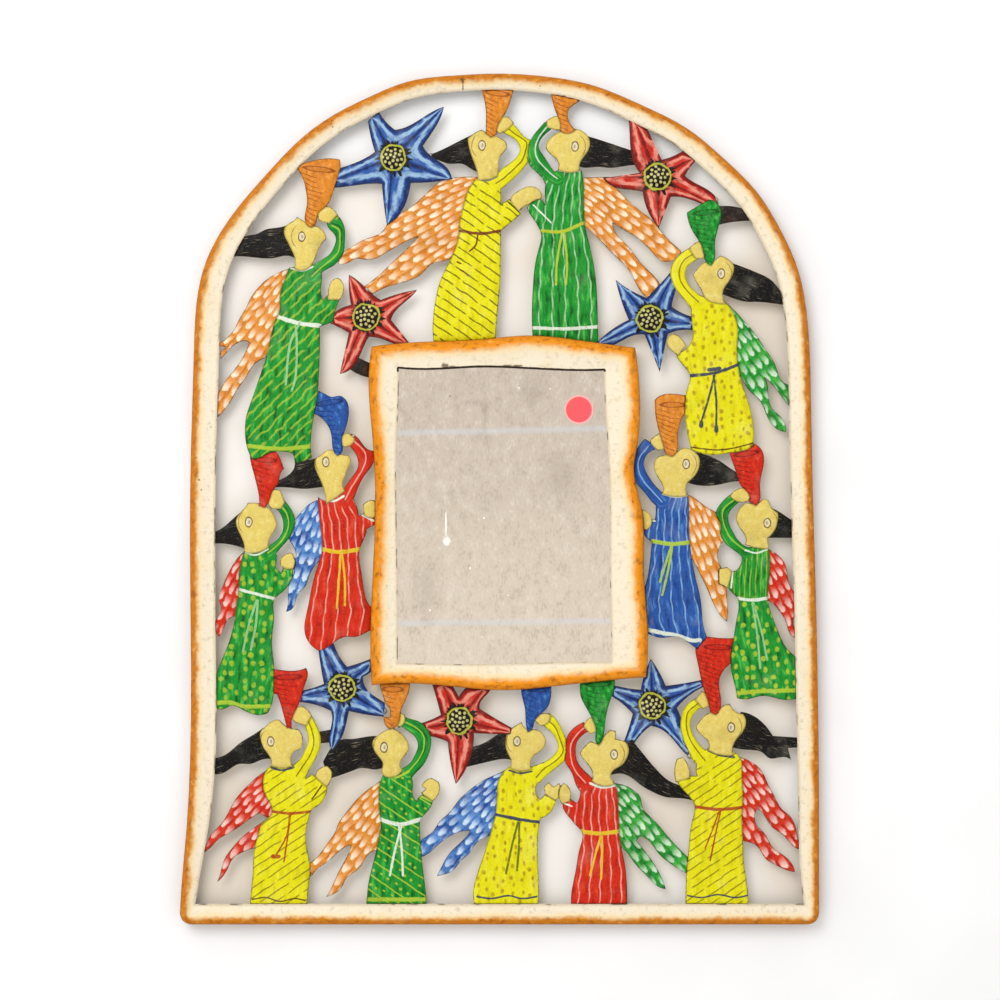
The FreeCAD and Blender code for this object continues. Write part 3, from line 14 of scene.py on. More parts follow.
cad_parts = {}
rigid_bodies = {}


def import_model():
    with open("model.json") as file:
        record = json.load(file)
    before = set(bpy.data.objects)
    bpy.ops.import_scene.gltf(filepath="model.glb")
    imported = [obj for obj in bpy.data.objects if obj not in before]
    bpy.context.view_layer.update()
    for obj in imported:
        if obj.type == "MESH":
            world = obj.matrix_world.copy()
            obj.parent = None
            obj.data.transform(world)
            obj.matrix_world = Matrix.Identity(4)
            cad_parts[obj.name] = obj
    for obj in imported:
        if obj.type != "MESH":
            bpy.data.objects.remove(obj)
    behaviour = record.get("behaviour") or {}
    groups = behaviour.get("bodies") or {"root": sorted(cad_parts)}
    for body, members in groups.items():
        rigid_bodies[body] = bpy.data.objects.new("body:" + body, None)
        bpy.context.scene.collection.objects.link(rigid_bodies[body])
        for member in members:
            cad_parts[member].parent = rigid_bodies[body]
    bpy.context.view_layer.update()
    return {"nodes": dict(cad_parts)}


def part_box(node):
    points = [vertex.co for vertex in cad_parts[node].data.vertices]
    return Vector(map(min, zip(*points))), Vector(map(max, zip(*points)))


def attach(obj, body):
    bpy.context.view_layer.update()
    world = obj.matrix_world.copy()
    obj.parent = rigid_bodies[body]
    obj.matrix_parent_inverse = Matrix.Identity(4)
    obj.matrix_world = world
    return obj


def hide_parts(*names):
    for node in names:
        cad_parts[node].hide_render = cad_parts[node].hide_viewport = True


for leftover in list(bpy.data.objects):
    bpy.data.objects.remove(leftover)
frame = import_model()
MM = 0.001
TINY = 1e-6

# The photograph's pixels, placed by the rim's known edges
RIM_LEFT_PIXEL, RIM_RIGHT_PIXEL = 180, 819
RIM_TOP_PIXEL, RIM_BOTTOM_PIXEL = 74, 924
PICTURE_SIDE_PIXELS = 1000
rim_low, rim_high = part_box("outer_rim")
pixel_wide = (rim_high[0] - rim_low[0]) / (RIM_RIGHT_PIXEL - RIM_LEFT_PIXEL)
pixel_high = (rim_high[2] - rim_low[2]) / (RIM_BOTTOM_PIXEL - RIM_TOP_PIXEL)
pixel_mm = pixel_wide / MM


def spot(pixel_x, pixel_y):
    """A pixel's place on the object as X and Z, in millimetres."""
    x = rim_low[0] + (pixel_x - RIM_LEFT_PIXEL) * pixel_wide
    z = rim_high[2] - (pixel_y - RIM_TOP_PIXEL) * pixel_high
    return np.array((x, z)) / MM


def spots(pixels):
    """The places of several pixels."""
    return np.array([spot(x, y) for x, y in pixels])


def linked(name, data):
    """A new object in the scene."""
    made = bpy.data.objects.new(name, data)
    bpy.context.collection.objects.link(made)
    return made


# Camera and light
LENS_MM, SENSOR_MM = 85.0, 36.0
FOCUS_DEPTH = 0.009
camera_data = bpy.data.cameras.new("camera")
camera_data.lens = LENS_MM
camera_data.sensor_width = SENSOR_MM
camera = linked("camera", camera_data)
aim_x, aim_z = spot(PICTURE_SIDE_PIXELS / 2, PICTURE_SIDE_PIXELS / 2) * MM
away = PICTURE_SIDE_PIXELS * pixel_wide * LENS_MM / SENSOR_MM
camera.location = (aim_x, -FOCUS_DEPTH - away, aim_z)
camera.rotation_euler = (math.pi / 2, 0, 0)
bpy.context.scene.camera = camera
bpy.context.scene.view_settings.view_transform = "Standard"

LAMP_SIDE = 1.1
LAMP_PLACE = Vector((-0.7, -1.7, 0.8))
LAMP_POWER = 17.5
lamp_data = bpy.data.lights.new("window_light", "AREA")
lamp_data.size = LAMP_SIDE
lamp_data.energy = LAMP_POWER
lamp = linked("window_light", lamp_data)
lamp.location = LAMP_PLACE
lamp.rotation_euler = (Vector((aim_x, 0, aim_z)) - LAMP_PLACE).to_track_quat("-Z", "Y").to_euler()


# Shader maths: values that are reckoned with like numbers, and the materials that they belong to
class Value:
    """A number that varies over a surface: what a node gives at one of its sockets."""

    def __init__(self, tree, socket):
        self.tree = tree
        self.socket = socket

    def math(self, operation, *others):
        return self.tree.node("ShaderNodeMath", [self, *others], {"operation": operation})

    def __add__(self, other):
        return self.math("ADD", other)

    __radd__ = __add__

    def __sub__(self, other):
        return self.math("SUBTRACT", other)

    def __rsub__(self, other):
        return self.tree.node("ShaderNodeMath", [other, self], {"operation": "SUBTRACT"})

    def __mul__(self, other):
        return self.math("MULTIPLY", other)

    __rmul__ = __mul__

    def __truediv__(self, other):
        return self.math("DIVIDE", other)

    def __abs__(self):
        return self.math("ABSOLUTE")

    def floor(self):
        return self.math("FLOOR")

    def fraction(self):
        return self.math("FRACT")

    def least(self, other):
        return self.math("MINIMUM", other)

    def most(self, other):
        return self.math("MAXIMUM", other)

    def root(self):
        return self.math("SQRT")

    def sine(self):
        return self.math("SINE")


COAT_ROUGHNESS = 0.12


class Finish:
    """One material, with its nodes added by plain calls."""

    def __init__(self, name, data=None):
        if data is None:
            data = bpy.data.materials.new(name)
        data.use_nodes = True
        self.data = data
        self.nodes = data.node_tree.nodes
        self.links = data.node_tree.links
        self.nodes.clear()

    def node(self, kind, inputs=(), settings=None, output=0):
        """Adds a node: its settings first, then its sockets by place or by name, each a number or a value."""
        made = self.nodes.new(kind)
        for key, setting in (settings or {}).items():
            setattr(made, key, setting)
        pairs = inputs.items() if isinstance(inputs, dict) else enumerate(inputs)
        for key, given in pairs:
            if isinstance(given, Value):
                self.links.new(given.socket, made.inputs[key])
            else:
                made.inputs[key].default_value = given
        if len(made.outputs) == 0:
            return None
        return Value(self, made.outputs[output])

    def attribute(self, name):
        """A vector attribute's three parts."""
        vector = self.node("ShaderNodeAttribute", (), {"attribute_name": name}, "Vector")
        return self.parts(vector)

    def parts(self, vector):
        """A vector's three parts."""
        made = self.node("ShaderNodeSeparateXYZ", [vector])
        return [Value(self, socket) for socket in made.socket.node.outputs]

    def place(self):
        """Where a point is on the object, in millimetres."""
        here = self.node("ShaderNodeTexCoord", output="Object")
        return self.node("ShaderNodeVectorMath", {0: here, "Scale": 1 / MM}, {"operation": "SCALE"})

    def noise_at(self, vector, scale, detail):
        """Noise from about -0.5 to 0.5 at a vector."""
        return self.node("ShaderNodeTexNoise", {"Vector": vector, "Scale": scale, "Detail": detail}) - 0.5

    def noise(self, size_mm, detail=2.0, stretch=(1, 1, 1)):
        """Noise whose lumps are about that many millimetres wide."""
        scaled = self.node("ShaderNodeVectorMath", [self.place(), stretch], {"operation": "MULTIPLY"})
        return self.noise_at(scaled, 1 / size_mm, detail)

    def flow(self, across, along, size_mm, length_mm, detail=2.0):
        """Noise drawn out along a lay: lumps of a size across it and a length along it."""
        vector = self.node("ShaderNodeCombineXYZ", [across * (1 / size_mm), along * (1 / length_mm), 0.0])
        return self.noise_at(vector, 1.0, detail)

    def chance(self, row, column):
        """A random number from 0 to 1 for each cell of a pattern."""
        cell = self.node("ShaderNodeCombineXYZ", [row, column, 0.0])
        return self.node("ShaderNodeTexWhiteNoise", {"Vector": cell}, output="Value")

    def cells(self, size_mm):
        """Distance to the nearest of scattered points, in millimetres, and a random number for each one."""
        inputs = {"Vector": self.place(), "Scale": 1 / size_mm}
        made = self.node("ShaderNodeTexVoronoi", inputs, output="Distance")
        colour = Value(self, made.socket.node.outputs["Color"])
        return made * size_mm, self.parts(colour)[0]

    def ramp(self, value, start, end):
        """A smooth step: 0 at start, 1 at end."""
        inputs = {"Value": value, "From Min": start, "From Max": end, "To Min": 0.0, "To Max": 1.0}
        return self.node("ShaderNodeMapRange", inputs, {"interpolation_type": "SMOOTHSTEP"})

    def inside(self, distance, soft=0.12):
        """1 where a distance in millimetres is negative, 0 where it is positive."""
        return self.ramp(distance, soft, -soft)

    def mix(self, share, under, over):
        """A colour laid over another by a share."""
        inputs = {0: share, 6: under, 7: over}
        return self.node("ShaderNodeMix", inputs, {"data_type": "RGBA", "clamp_factor": True}, 2)

    def surface(self, colour, roughness, height=None, metallic=0.0, coat=0.0, shine=0.3):
        """Ends the material in a Principled surface, bumped by a height in millimetres."""
        inputs = {
            "Base Color": colour, "Roughness": roughness, "Metallic": metallic, "Coat Weight": coat,
            "Specular IOR Level": shine, "Coat Roughness": COAT_ROUGHNESS,
        }
        if height is not None:
            bump = {"Height": height, "Strength": 1.0, "Distance": MM}
            inputs["Normal"] = self.node("ShaderNodeBump", bump)
        self.end(self.node("ShaderNodeBsdfPrincipled", inputs))
        return self.data

    def end(self, shader, kind="ShaderNodeOutputMaterial"):
        """Gives a shader to the output."""
        self.node(kind, {"Surface": shader})


def paint(red, green, blue):
    """A colour as it shows on a screen, given as 0 to 255, made linear for the shader."""
    linear = []
    for part in (red, green, blue):
        share = part / 255
        linear.append(share / 12.92 if share <= 0.04045 else ((share + 0.055) / 1.055) ** 2.4)
    return (*linear, 1.0)


PAINTS = {
    "yellow": paint(228, 220, 8),
    "green": paint(20, 142, 42),
    "red": paint(206, 38, 12),
    "blue": paint(38, 84, 160),
    "star blue": paint(42, 86, 160),
    "star red": paint(194, 36, 18),
    "orange": paint(220, 134, 38),
    "dark blue": paint(34, 52, 84),
    "black": paint(16, 13, 10),
    "brown": paint(92, 54, 16),
    "red-brown": paint(170, 62, 22),
    "maroon": paint(112, 36, 12),
    "white": paint(226, 234, 216),
    "pale": paint(188, 220, 176),
    "faint": paint(150, 200, 140),
    "grey": paint(130, 132, 118),
    "lime": paint(172, 198, 54),
    "yellow green": paint(184, 194, 48),
    "sun": paint(226, 190, 40),
    "pink": paint(240, 176, 156),
    "sky": paint(140, 182, 218),
    "olive": paint(96, 104, 30),
    "moss": paint(112, 96, 12),
    "dark olive": paint(58, 46, 8),
    "ochre": paint(156, 114, 18),
    "skin": paint(224, 201, 104),
    "cream": paint(243, 230, 204),
    "tin": paint(168, 164, 152),
}

# How the brush left each paint: a darker and a lighter tone of it, and how strongly they show
BRUSH_TONES = {
    "yellow": (paint(190, 168, 2), paint(246, 240, 84)),
    "green": (paint(4, 84, 22), paint(84, 190, 74)),
    "red": (paint(142, 12, 6), paint(232, 84, 48)),
    "blue": (paint(16, 40, 104), paint(92, 144, 208)),
    "orange": (paint(172, 88, 18), paint(242, 178, 92)),
    "skin": (paint(216, 178, 72), paint(246, 232, 160)),
}
BRUSH_SHARES = {"yellow": 0.4, "green": 1.0, "red": 0.6, "blue": 0.7, "orange": 0.6, "skin": 0.4}


def brushed(finish, base, across, along, stroke_mm=13.0):
    """A paint with the streaks that the brush left in it."""
    dark, light = BRUSH_TONES[base]
    strong_share = BRUSH_SHARES[base]
    streak = finish.flow(across, along, 2.8, stroke_mm, 3.0)
    colour = finish.mix(finish.ramp(streak, 0.0, -0.2) * strong_share, PAINTS[base], dark)
    return finish.mix(finish.ramp(streak, 0.03, 0.22) * strong_share, colour, light)


# Paint patterns: each gives how much of the second colour covers the first, from 0 to 1
def bands(finish, across, spacing, width, soft=0.12):
    """Lines a spacing apart, each of a width, in whatever unit across is measured."""
    off = abs((across / spacing).fraction() - 0.5) * spacing
    return finish.inside(off - width / 2, soft)


def dabs(finish, across, along, spacing, width, length, soft=0.12, loose_share=0.0):
    """Staggered oval dabs, longer along than across, and out of line by a share of their spacing."""
    row = (across / spacing[0]).floor()
    shifted = along / spacing[1] + row * 0.5
    off_across = ((across / spacing[0]).fraction() - 0.5) * spacing[0]
    off_along = (shifted.fraction() - 0.5) * spacing[1]
    if loose_share:
        chance = finish.chance(row, shifted.floor())
        off_across = off_across + (chance - 0.5) * (spacing[0] * loose_share)
        off_along = off_along + ((chance * 7.0).fraction() - 0.5) * (spacing[1] * loose_share)
        width = width * (0.7 + chance * 0.5)
    ratio = width / length
    reach = (off_across * off_across + off_along * off_along * (ratio * ratio)).root()
    return finish.inside(reach - width / 2, soft)


def slanted(finish, degrees):
    """Coordinates across and along lines that rise to the right by that many degrees, in millimetres."""
    x, _, z = finish.parts(finish.place())
    turn = math.radians(degrees)
    across = z * math.cos(turn) - x * math.sin(turn)
    along = x * math.cos(turn) + z * math.sin(turn)
    return across, along


def pattern_hatch(finish, degrees, spacing, width, length, wave_mm=2.2, soft=0.15):
    """Broken hand-drawn lines that rise by an angle."""
    across, along = slanted(finish, degrees)
    across = across + finish.noise(9.0) * wave_mm
    along = along + finish.noise(12.0) * 5.0
    row = (across / spacing).floor()
    shifted = along / (length * 1.3) + finish.chance(row, 5.0)
    off = abs((across / spacing).fraction() - 0.5) * spacing + finish.noise(2.0) * 0.5
    ends = finish.ramp(abs(shifted.fraction() - 0.5), 0.5, 0.38)
    return finish.inside(off - width / 2, soft) * ends


def pattern_stripes(finish, lay, count, width, wave_mm=0.0):
    """A count of stripes down the robe, wavy where a wave is given."""
    u, v, half = lay
    drift = finish.noise(11.0) * 1.6
    if wave_mm:
        drift = drift + (v / 2.3).sine() * wave_mm
    spacing = half * 2 / count
    off = abs(((u * half + drift) / spacing + 0.5 * (count % 2 == 0)).fraction() - 0.5)
    broken = finish.ramp(finish.flow(u * half, v, 1.6, 7.0, 3.0), -0.16, 0.08) * 0.75 + 0.25
    return finish.inside((0.5 - off) * spacing - width / 2, 0.25) * broken


def pattern_dots(finish, spacing, width, length):
    """Loose round dots, faint here and there."""
    x, _, z = finish.parts(finish.place())
    wobble = finish.noise(7.0) * 2.2
    spot_shape = dabs(finish, x + wobble, z - wobble, spacing, width, length, 0.5, 0.62)
    return spot_shape * (finish.noise(3.0, 2.0) * 1.2 + 0.85)


def pattern_dots_and_lines(finish, lay):
    """Dots below the waist, light upright strokes above it."""
    lower = finish.ramp(lay[1], 30.0, 34.0)
    dots = pattern_dots(finish, (6.6, 6.2), 3.0, 3.6)
    return dots * lower + pattern_stripes(finish, lay, 6, 0.8) * (1.0 - lower) * 0.7


def pattern_lines_and_dots(finish, spacing=8.6):
    """Wide-set slanting lines with a row of dots between them."""
    across, along = slanted(finish, -34)
    across = across + finish.noise(9.0) * 1.6
    lines = bands(finish, across, spacing, 0.9)
    dots = dabs(finish, across + spacing / 2, along, (spacing, 5.4), 1.6, 2.0, 0.3, 0.3)
    return lines.most(dots) * 0.8


# Each robe's pattern by name, from the finish and the robe's lay
PATTERNS = {
    "long lines down": lambda finish, _: pattern_hatch(finish, -35, 5.6, 0.95, 16.0) * 0.8,
    "strokes up": lambda finish, _: pattern_hatch(finish, 44, 5.2, 1.2, 22.0, 5.0, 0.5) * 0.7,
    "thin lines up": lambda finish, _: pattern_hatch(finish, 34, 5.2, 0.85, 20.0) * 0.75,
    "lines and dots": lambda finish, _: pattern_lines_and_dots(finish),
    "wavy stripes": lambda finish, lay: pattern_stripes(finish, lay, 5, 1.0, 0.4) * 0.75,
    "stripes": lambda finish, lay: pattern_stripes(finish, lay, 5, 0.9, 0.3) * 0.85,
    "dabs": lambda finish, _: pattern_dots(finish, (6.0, 6.6), 2.1, 2.9) * 0.8,
    "dots": lambda finish, _: pattern_dots(finish, (6.6, 6.2), 3.2, 3.6) * 0.8,
    "dots and lines": pattern_dots_and_lines,
}


def worn_edge(finish, colour, edge):
    """A colour, dark along the cut edge where it was dipped."""
    ragged = edge + finish.noise(2.0) * 0.9
    return finish.mix(finish.ramp(ragged, 0.6, 0.1) * 0.85, colour, paint(38, 26, 16))


def enamel(finish, colour, height=None, roughness=0.46):
    """Hand-laid enamel: patchy colour, brush drag, darker along the borders between regions, and a faint
    shine.
    """
    patch = finish.noise(14.0, 3.0)
    colour = finish.mix(finish.ramp(patch, 0.04, 0.3) * 0.07, colour, paint(255, 250, 225))
    colour = finish.mix(finish.ramp(patch, -0.02, -0.28) * 0.16, colour, paint(48, 32, 12))
    grain = finish.noise(0.9, 2.0)
    colour = finish.mix(finish.ramp(grain, 0.04, 0.26) * 0.04, colour, paint(255, 252, 232))
    colour = finish.mix(finish.ramp(grain, -0.04, -0.26) * 0.26, colour, paint(30, 22, 10))
    edge, border, _ = finish.attribute("trim")
    # darker along the borders between regions, where the levels step
    border_dark = finish.ramp(border + finish.noise(3.0) * 0.9, 1.0, 0.1)
    colour = finish.mix(border_dark * 0.5, colour, paint(46, 34, 20))
    colour = worn_edge(finish, colour, edge)
    drag = finish.noise(1.3, 2.0, (1, 1, 0.35)) * 0.07 + finish.noise(6.0, 2.0) * 0.22
    if height is not None:
        drag = drag + height
    gloss = finish.noise(8.0, 2.0) * 0.16 + roughness
    return finish.surface(colour, gloss, drag, coat=0.03, shine=0.12)


def robe_finish(name, base, pattern, second, inks, arm_ink):
    """A robe: its colour and pattern, its belts, cords and hems in up to three inks, and the arm's line."""
    finish = Finish(name)
    lay = finish.attribute("lay")
    u, v, half = lay
    arm, _, _ = finish.attribute("arm")
    trunk = finish.ramp(abs(arm), 4.0, 5.6)
    colour = brushed(finish, base, u * half * trunk + arm * (1.0 - trunk), v)
    cover = PATTERNS[pattern](finish, lay) * trunk
    colour = finish.mix(cover, colour, PAINTS[second])
    line = finish.inside(abs(arm + finish.noise(9.0) * 1.4) - 0.42 + finish.noise(2.0) * 0.5)
    colour = finish.mix(line * 0.8, colour, PAINTS[arm_ink])
    height = cover * 0.05
    for ink, ratio in zip(inks, finish.attribute("inks")):
        drawn = finish.inside(abs(ratio) * 0.9 - 0.9 + finish.noise(3.0) * 0.7, 0.2)
        worn = finish.ramp(finish.noise(2.4, 3.0), -0.25, -0.05) * 0.35 + 0.6
        colour = finish.mix(drawn * worn, colour, PAINTS[ink])
        height = height + drawn * 0.06
    return enamel(finish, colour, height)


# Wings: the light colour of each one's dabs, how pale its paint wears, and the rows that the dabs lie in
DAB_TONES = {
    "orange": paint(254, 238, 210),
    "green": paint(216, 238, 208),
    "red": paint(250, 210, 198),
    "blue": paint(214, 232, 248),
}
WING_PALER_SHARES = {"orange": 0.25, "green": 0.5, "red": 0.2, "blue": 0.8}
DAB_ROW_MM, DAB_LENGTH_MM, DAB_HALF_MM = 5.4, 9.8, 1.8


def wing_finish(base):
    """A wing: rows of dabs along the feathers, each light at its far end and lost in the paint before it."""
    finish = Finish(f"wing_{base}")
    u, v, _ = finish.attribute("lay")
    colour = brushed(finish, base, u, v)
    u = u + finish.noise(8.0) * 3.2
    v = v + finish.noise(9.0) * 5.0
    row = (u / DAB_ROW_MM).floor()
    shifted = v / DAB_LENGTH_MM + finish.chance(row, 3.0)
    along = shifted.fraction()
    off = abs((u / DAB_ROW_MM).fraction() - 0.5) * DAB_ROW_MM
    reach = off - (along * (1.0 - along)).root() * (DAB_HALF_MM * 2)
    strong = finish.ramp(along, 0.1, 0.85) * (finish.chance(row, shifted.floor()) * 0.4 + 0.6)
    cover = finish.inside(reach + finish.noise(2.4, 2.0) * 1.8, 0.5) * strong
    valley = finish.ramp(off, 2.1, 2.6) * finish.ramp(finish.noise(5.0, 2.0), -0.15, 0.1)
    paler = finish.ramp(finish.noise(6.0, 2.0), -0.12, 0.12)
    colour = finish.mix(paler * WING_PALER_SHARES[base], colour, BRUSH_TONES[base][1])
    colour = finish.mix(valley * 0.6, colour, BRUSH_TONES[base][0])
    colour = finish.mix(cover, colour, DAB_TONES[base])
    return enamel(finish, colour, cover * 0.07)


# The bell's mouth: how far down the horn, how tall, in millimetres, and how much of the half-width it fills
MOUTH_LEVEL, MOUTH_TALL, MOUTH_SHARE = 4.6, 1.7, 0.72
HORN_LINES = {
    "orange": paint(128, 58, 14),
    "green": paint(6, 66, 20),
    "red": paint(104, 10, 8),
    "blue": paint(14, 30, 84),
}


def horn_finish(base):
    """A horn: thin broken lines across one side, in a darker tone, and the outline of the bell's mouth."""
    finish = Finish(f"horn_{base}")
    u, v, half = finish.attribute("lay")
    bowed = v + u * 1.8 + u * u * 1.2 + finish.noise(6.0) * 2.6
    broken = finish.ramp(u + finish.noise(5.0) * 2.4, -0.4, 0.1) * finish.ramp(v, 7.4, 8.2)
    lines = bands(finish, bowed, 3.0, 0.5, 0.2) * broken
    high = (v - MOUTH_LEVEL + finish.noise(6.0) * 0.8) / MOUTH_TALL
    mouth = (u * u / MOUTH_SHARE ** 2 + high * high).root() - 1.0
    dark = lines.most(finish.inside(abs(mouth) * MOUTH_TALL - 0.26 + finish.noise(2.0) * 0.4, 0.2))
    colour = brushed(finish, base, u * half, v, 5.0)
    colour = finish.mix(finish.inside(mouth) * 0.3, colour, BRUSH_TONES[base][0])
    colour = finish.mix(dark * 0.85, colour, HORN_LINES[base])
    return enamel(finish, colour, dark * -0.05)


# The eye: its half sizes, its outline, the pupil, and the bowed line behind it, in millimetres
EYE_WIDE, EYE_TALL, EYE_LINE = 2.2, 3.1, 0.34
PUPIL_WIDE, PUPIL_TALL = 0.75, 1.3
CHEEK_MIDDLE, CHEEK_RADIUS, CHEEK_REACH = 2.6, 9.4, 6.6


def skin_finish():
    """Ochre skin with a light upright eye, its thin brown outline and pupil, and a faint line behind it."""
    finish = Finish("skin")
    x, _, z = finish.parts(finish.place())
    colour = brushed(finish, "skin", x, z, 4.0)
    ahead, up, _ = finish.attribute("eye")
    ahead = ahead + finish.noise(4.0) * 0.7
    up = up + finish.noise(5.0) * 0.9
    oval = ((ahead * ahead / EYE_WIDE ** 2 + up * up / EYE_TALL ** 2).root() - 1.0) * EYE_WIDE
    inner = (ahead - 0.3) * (ahead - 0.3) / PUPIL_WIDE ** 2 + up * up / PUPIL_TALL ** 2
    colour = finish.mix(finish.inside(oval) * 0.8, colour, paint(226, 216, 190))
    colour = finish.mix(finish.inside(inner.root() - 1.0, 0.4) * 0.6, colour, paint(126, 104, 96))
    pressed = finish.noise(2.0, 2.0) * 0.5
    drawn = finish.inside(abs(oval) - EYE_LINE + pressed)
    colour = finish.mix(drawn * 0.85, colour, paint(84, 52, 26))
    off_middle = ahead - CHEEK_MIDDLE
    bow = abs((off_middle * off_middle + up * up).root() - CHEEK_RADIUS) - 0.28 + pressed
    cheek = finish.inside(bow, 0.2) * finish.inside(ahead) * finish.inside(abs(up) - CHEEK_REACH, 1.5)
    colour = finish.mix(cheek * 0.7, colour, paint(120, 78, 28))
    return enamel(finish, colour, drawn * 0.04)


def hair_finish():
    """Black hair with faint pale strands along it, painted highlights of its sheen."""
    finish = Finish("hair")
    u, v, _ = finish.attribute("lay")
    strand = finish.flow(u + finish.noise(12.0) * 3.0, v, 0.7, 10.0, 3.0)
    # painted highlight: pale strands along the hair, standing in for its sheen
    painted_highlight = finish.ramp(strand, 0.1, 0.18) * finish.ramp(finish.noise(9.0, 2.0), -0.14, 0.06)
    colour = finish.mix(painted_highlight * 0.6, paint(8, 6, 4), paint(158, 146, 118))
    return enamel(finish, colour, strand * 0.3, 0.5)


# A star flower's ragged black eye and the ring in it, by their radii, and the ring's half-width
STAR_EYE_MM, STAR_RING_MM, STAR_RING_HALF_MM = 10.3, 8.3, 0.66


def star_finish(base, light, dark):
    """A star flower: pale strokes beside each arm's dark ridge, and a black eye with a ring and dots."""
    finish = Finish(f"star_{base}")
    share, _, _ = finish.attribute("lay")
    x, z, _ = finish.attribute("aim")
    radius = (x * x + z * z).root()
    wobble = finish.noise(4.0)
    share = share + wobble * 0.22
    streak = finish.flow(share * 5.0, radius, 1.3, 12.0, 2.0)
    patch = finish.noise(9.0, 2.0)
    colour = finish.mix(finish.ramp(patch, 0.0, -0.16) * 0.6, PAINTS[f"star {base}"], BRUSH_TONES[base][0])
    stroke = finish.ramp(abs(share - 0.46), 0.3, 0.12) * finish.ramp(streak, -0.16, 0.06)
    faded = finish.ramp(patch + finish.noise(3.0, 2.0) * 0.6, -0.4, 0.0) * finish.ramp(radius, 8.0, 13.0)
    colour = finish.mix(stroke * faded * 0.85, colour, light)
    ridge = finish.ramp(share, 0.17, 0.05)
    rimmed = finish.ramp(share + finish.noise(2.0) * 0.2, 0.64, 0.84)
    colour = finish.mix(ridge.most(rimmed * 0.9) * 0.9, colour, dark)
    spikes = finish.flow(x / radius, z / radius, 0.2, 0.2, 1.0) * 16.0
    eye = finish.inside(radius - STAR_EYE_MM + spikes + wobble * 1.6, 0.3)
    colour = finish.mix(eye, colour, paint(20, 16, 10))
    ring = abs(radius - STAR_RING_MM + finish.noise(7.0) * 3.6) - STAR_RING_HALF_MM + finish.noise(1.5)
    colour = finish.mix(finish.inside(ring, 0.25) * 0.92, colour, paint(184, 184, 62))
    dots, _, _ = finish.attribute("inks")
    dotted = finish.inside(dots + finish.noise(1.5) * 0.3, 0.22)
    colour = finish.mix(dotted * 0.95, colour, paint(214, 206, 136))
    return enamel(finish, colour, dotted * 0.2 - ridge * 0.1)


def bare_tin(name="bare_tin"):
    """Raw tinplate gone dull: drawn grain, flux stains and rust freckles."""
    finish = Finish(name)
    grain = finish.noise(1.5, 3.0, (0.15, 1, 1))
    stain = finish.noise(18.0, 4.0)
    colour = finish.mix(finish.ramp(stain, -0.1, 0.3) * 0.5, PAINTS["tin"], paint(112, 104, 90))
    distance, chance = finish.cells(7.0)
    rust = finish.inside(distance - chance * 1.1 + finish.noise(1.5) * 1.2, 0.4)
    colour = finish.mix(rust * finish.ramp(chance, 0.5, 0.8) * 0.7, colour, paint(120, 72, 38))
    rough = stain * 0.2 + grain * 0.2 + 0.42
    return finish.surface(colour, rough, grain * 0.1 + stain * 0.3, metallic=0.85)


def cut_edge():
    """The snipped edge of the sheet, dark with enamel that ran over it."""
    finish = Finish("cut_edge")
    bright = finish.ramp(finish.noise(2.5, 3.0), 0.12, 0.28)
    colour = finish.mix(bright, paint(44, 32, 20), paint(140, 128, 105))
    return finish.surface(colour, 0.5, finish.noise(0.8) * 0.12, metallic=0.2)


def marks(finish, places, soft, ragged_mm):
    """Small oval marks, each by its pixel and its half sizes in millimetres."""
    x, _, z = finish.parts(finish.place())
    wander = finish.noise(2.0) * ragged_mm
    found = None
    for (pixel_x, pixel_y), (wide, tall) in places:
        here = spot(pixel_x, pixel_y)
        away_x = abs(x - float(here[0])) / wide
        away_z = abs(z - float(here[1])) / tall
        mark = finish.inside((away_x * away_x + away_z * away_z).root() - 1.0 + wander, soft)
        found = mark if found is None else found.most(mark)
    return found


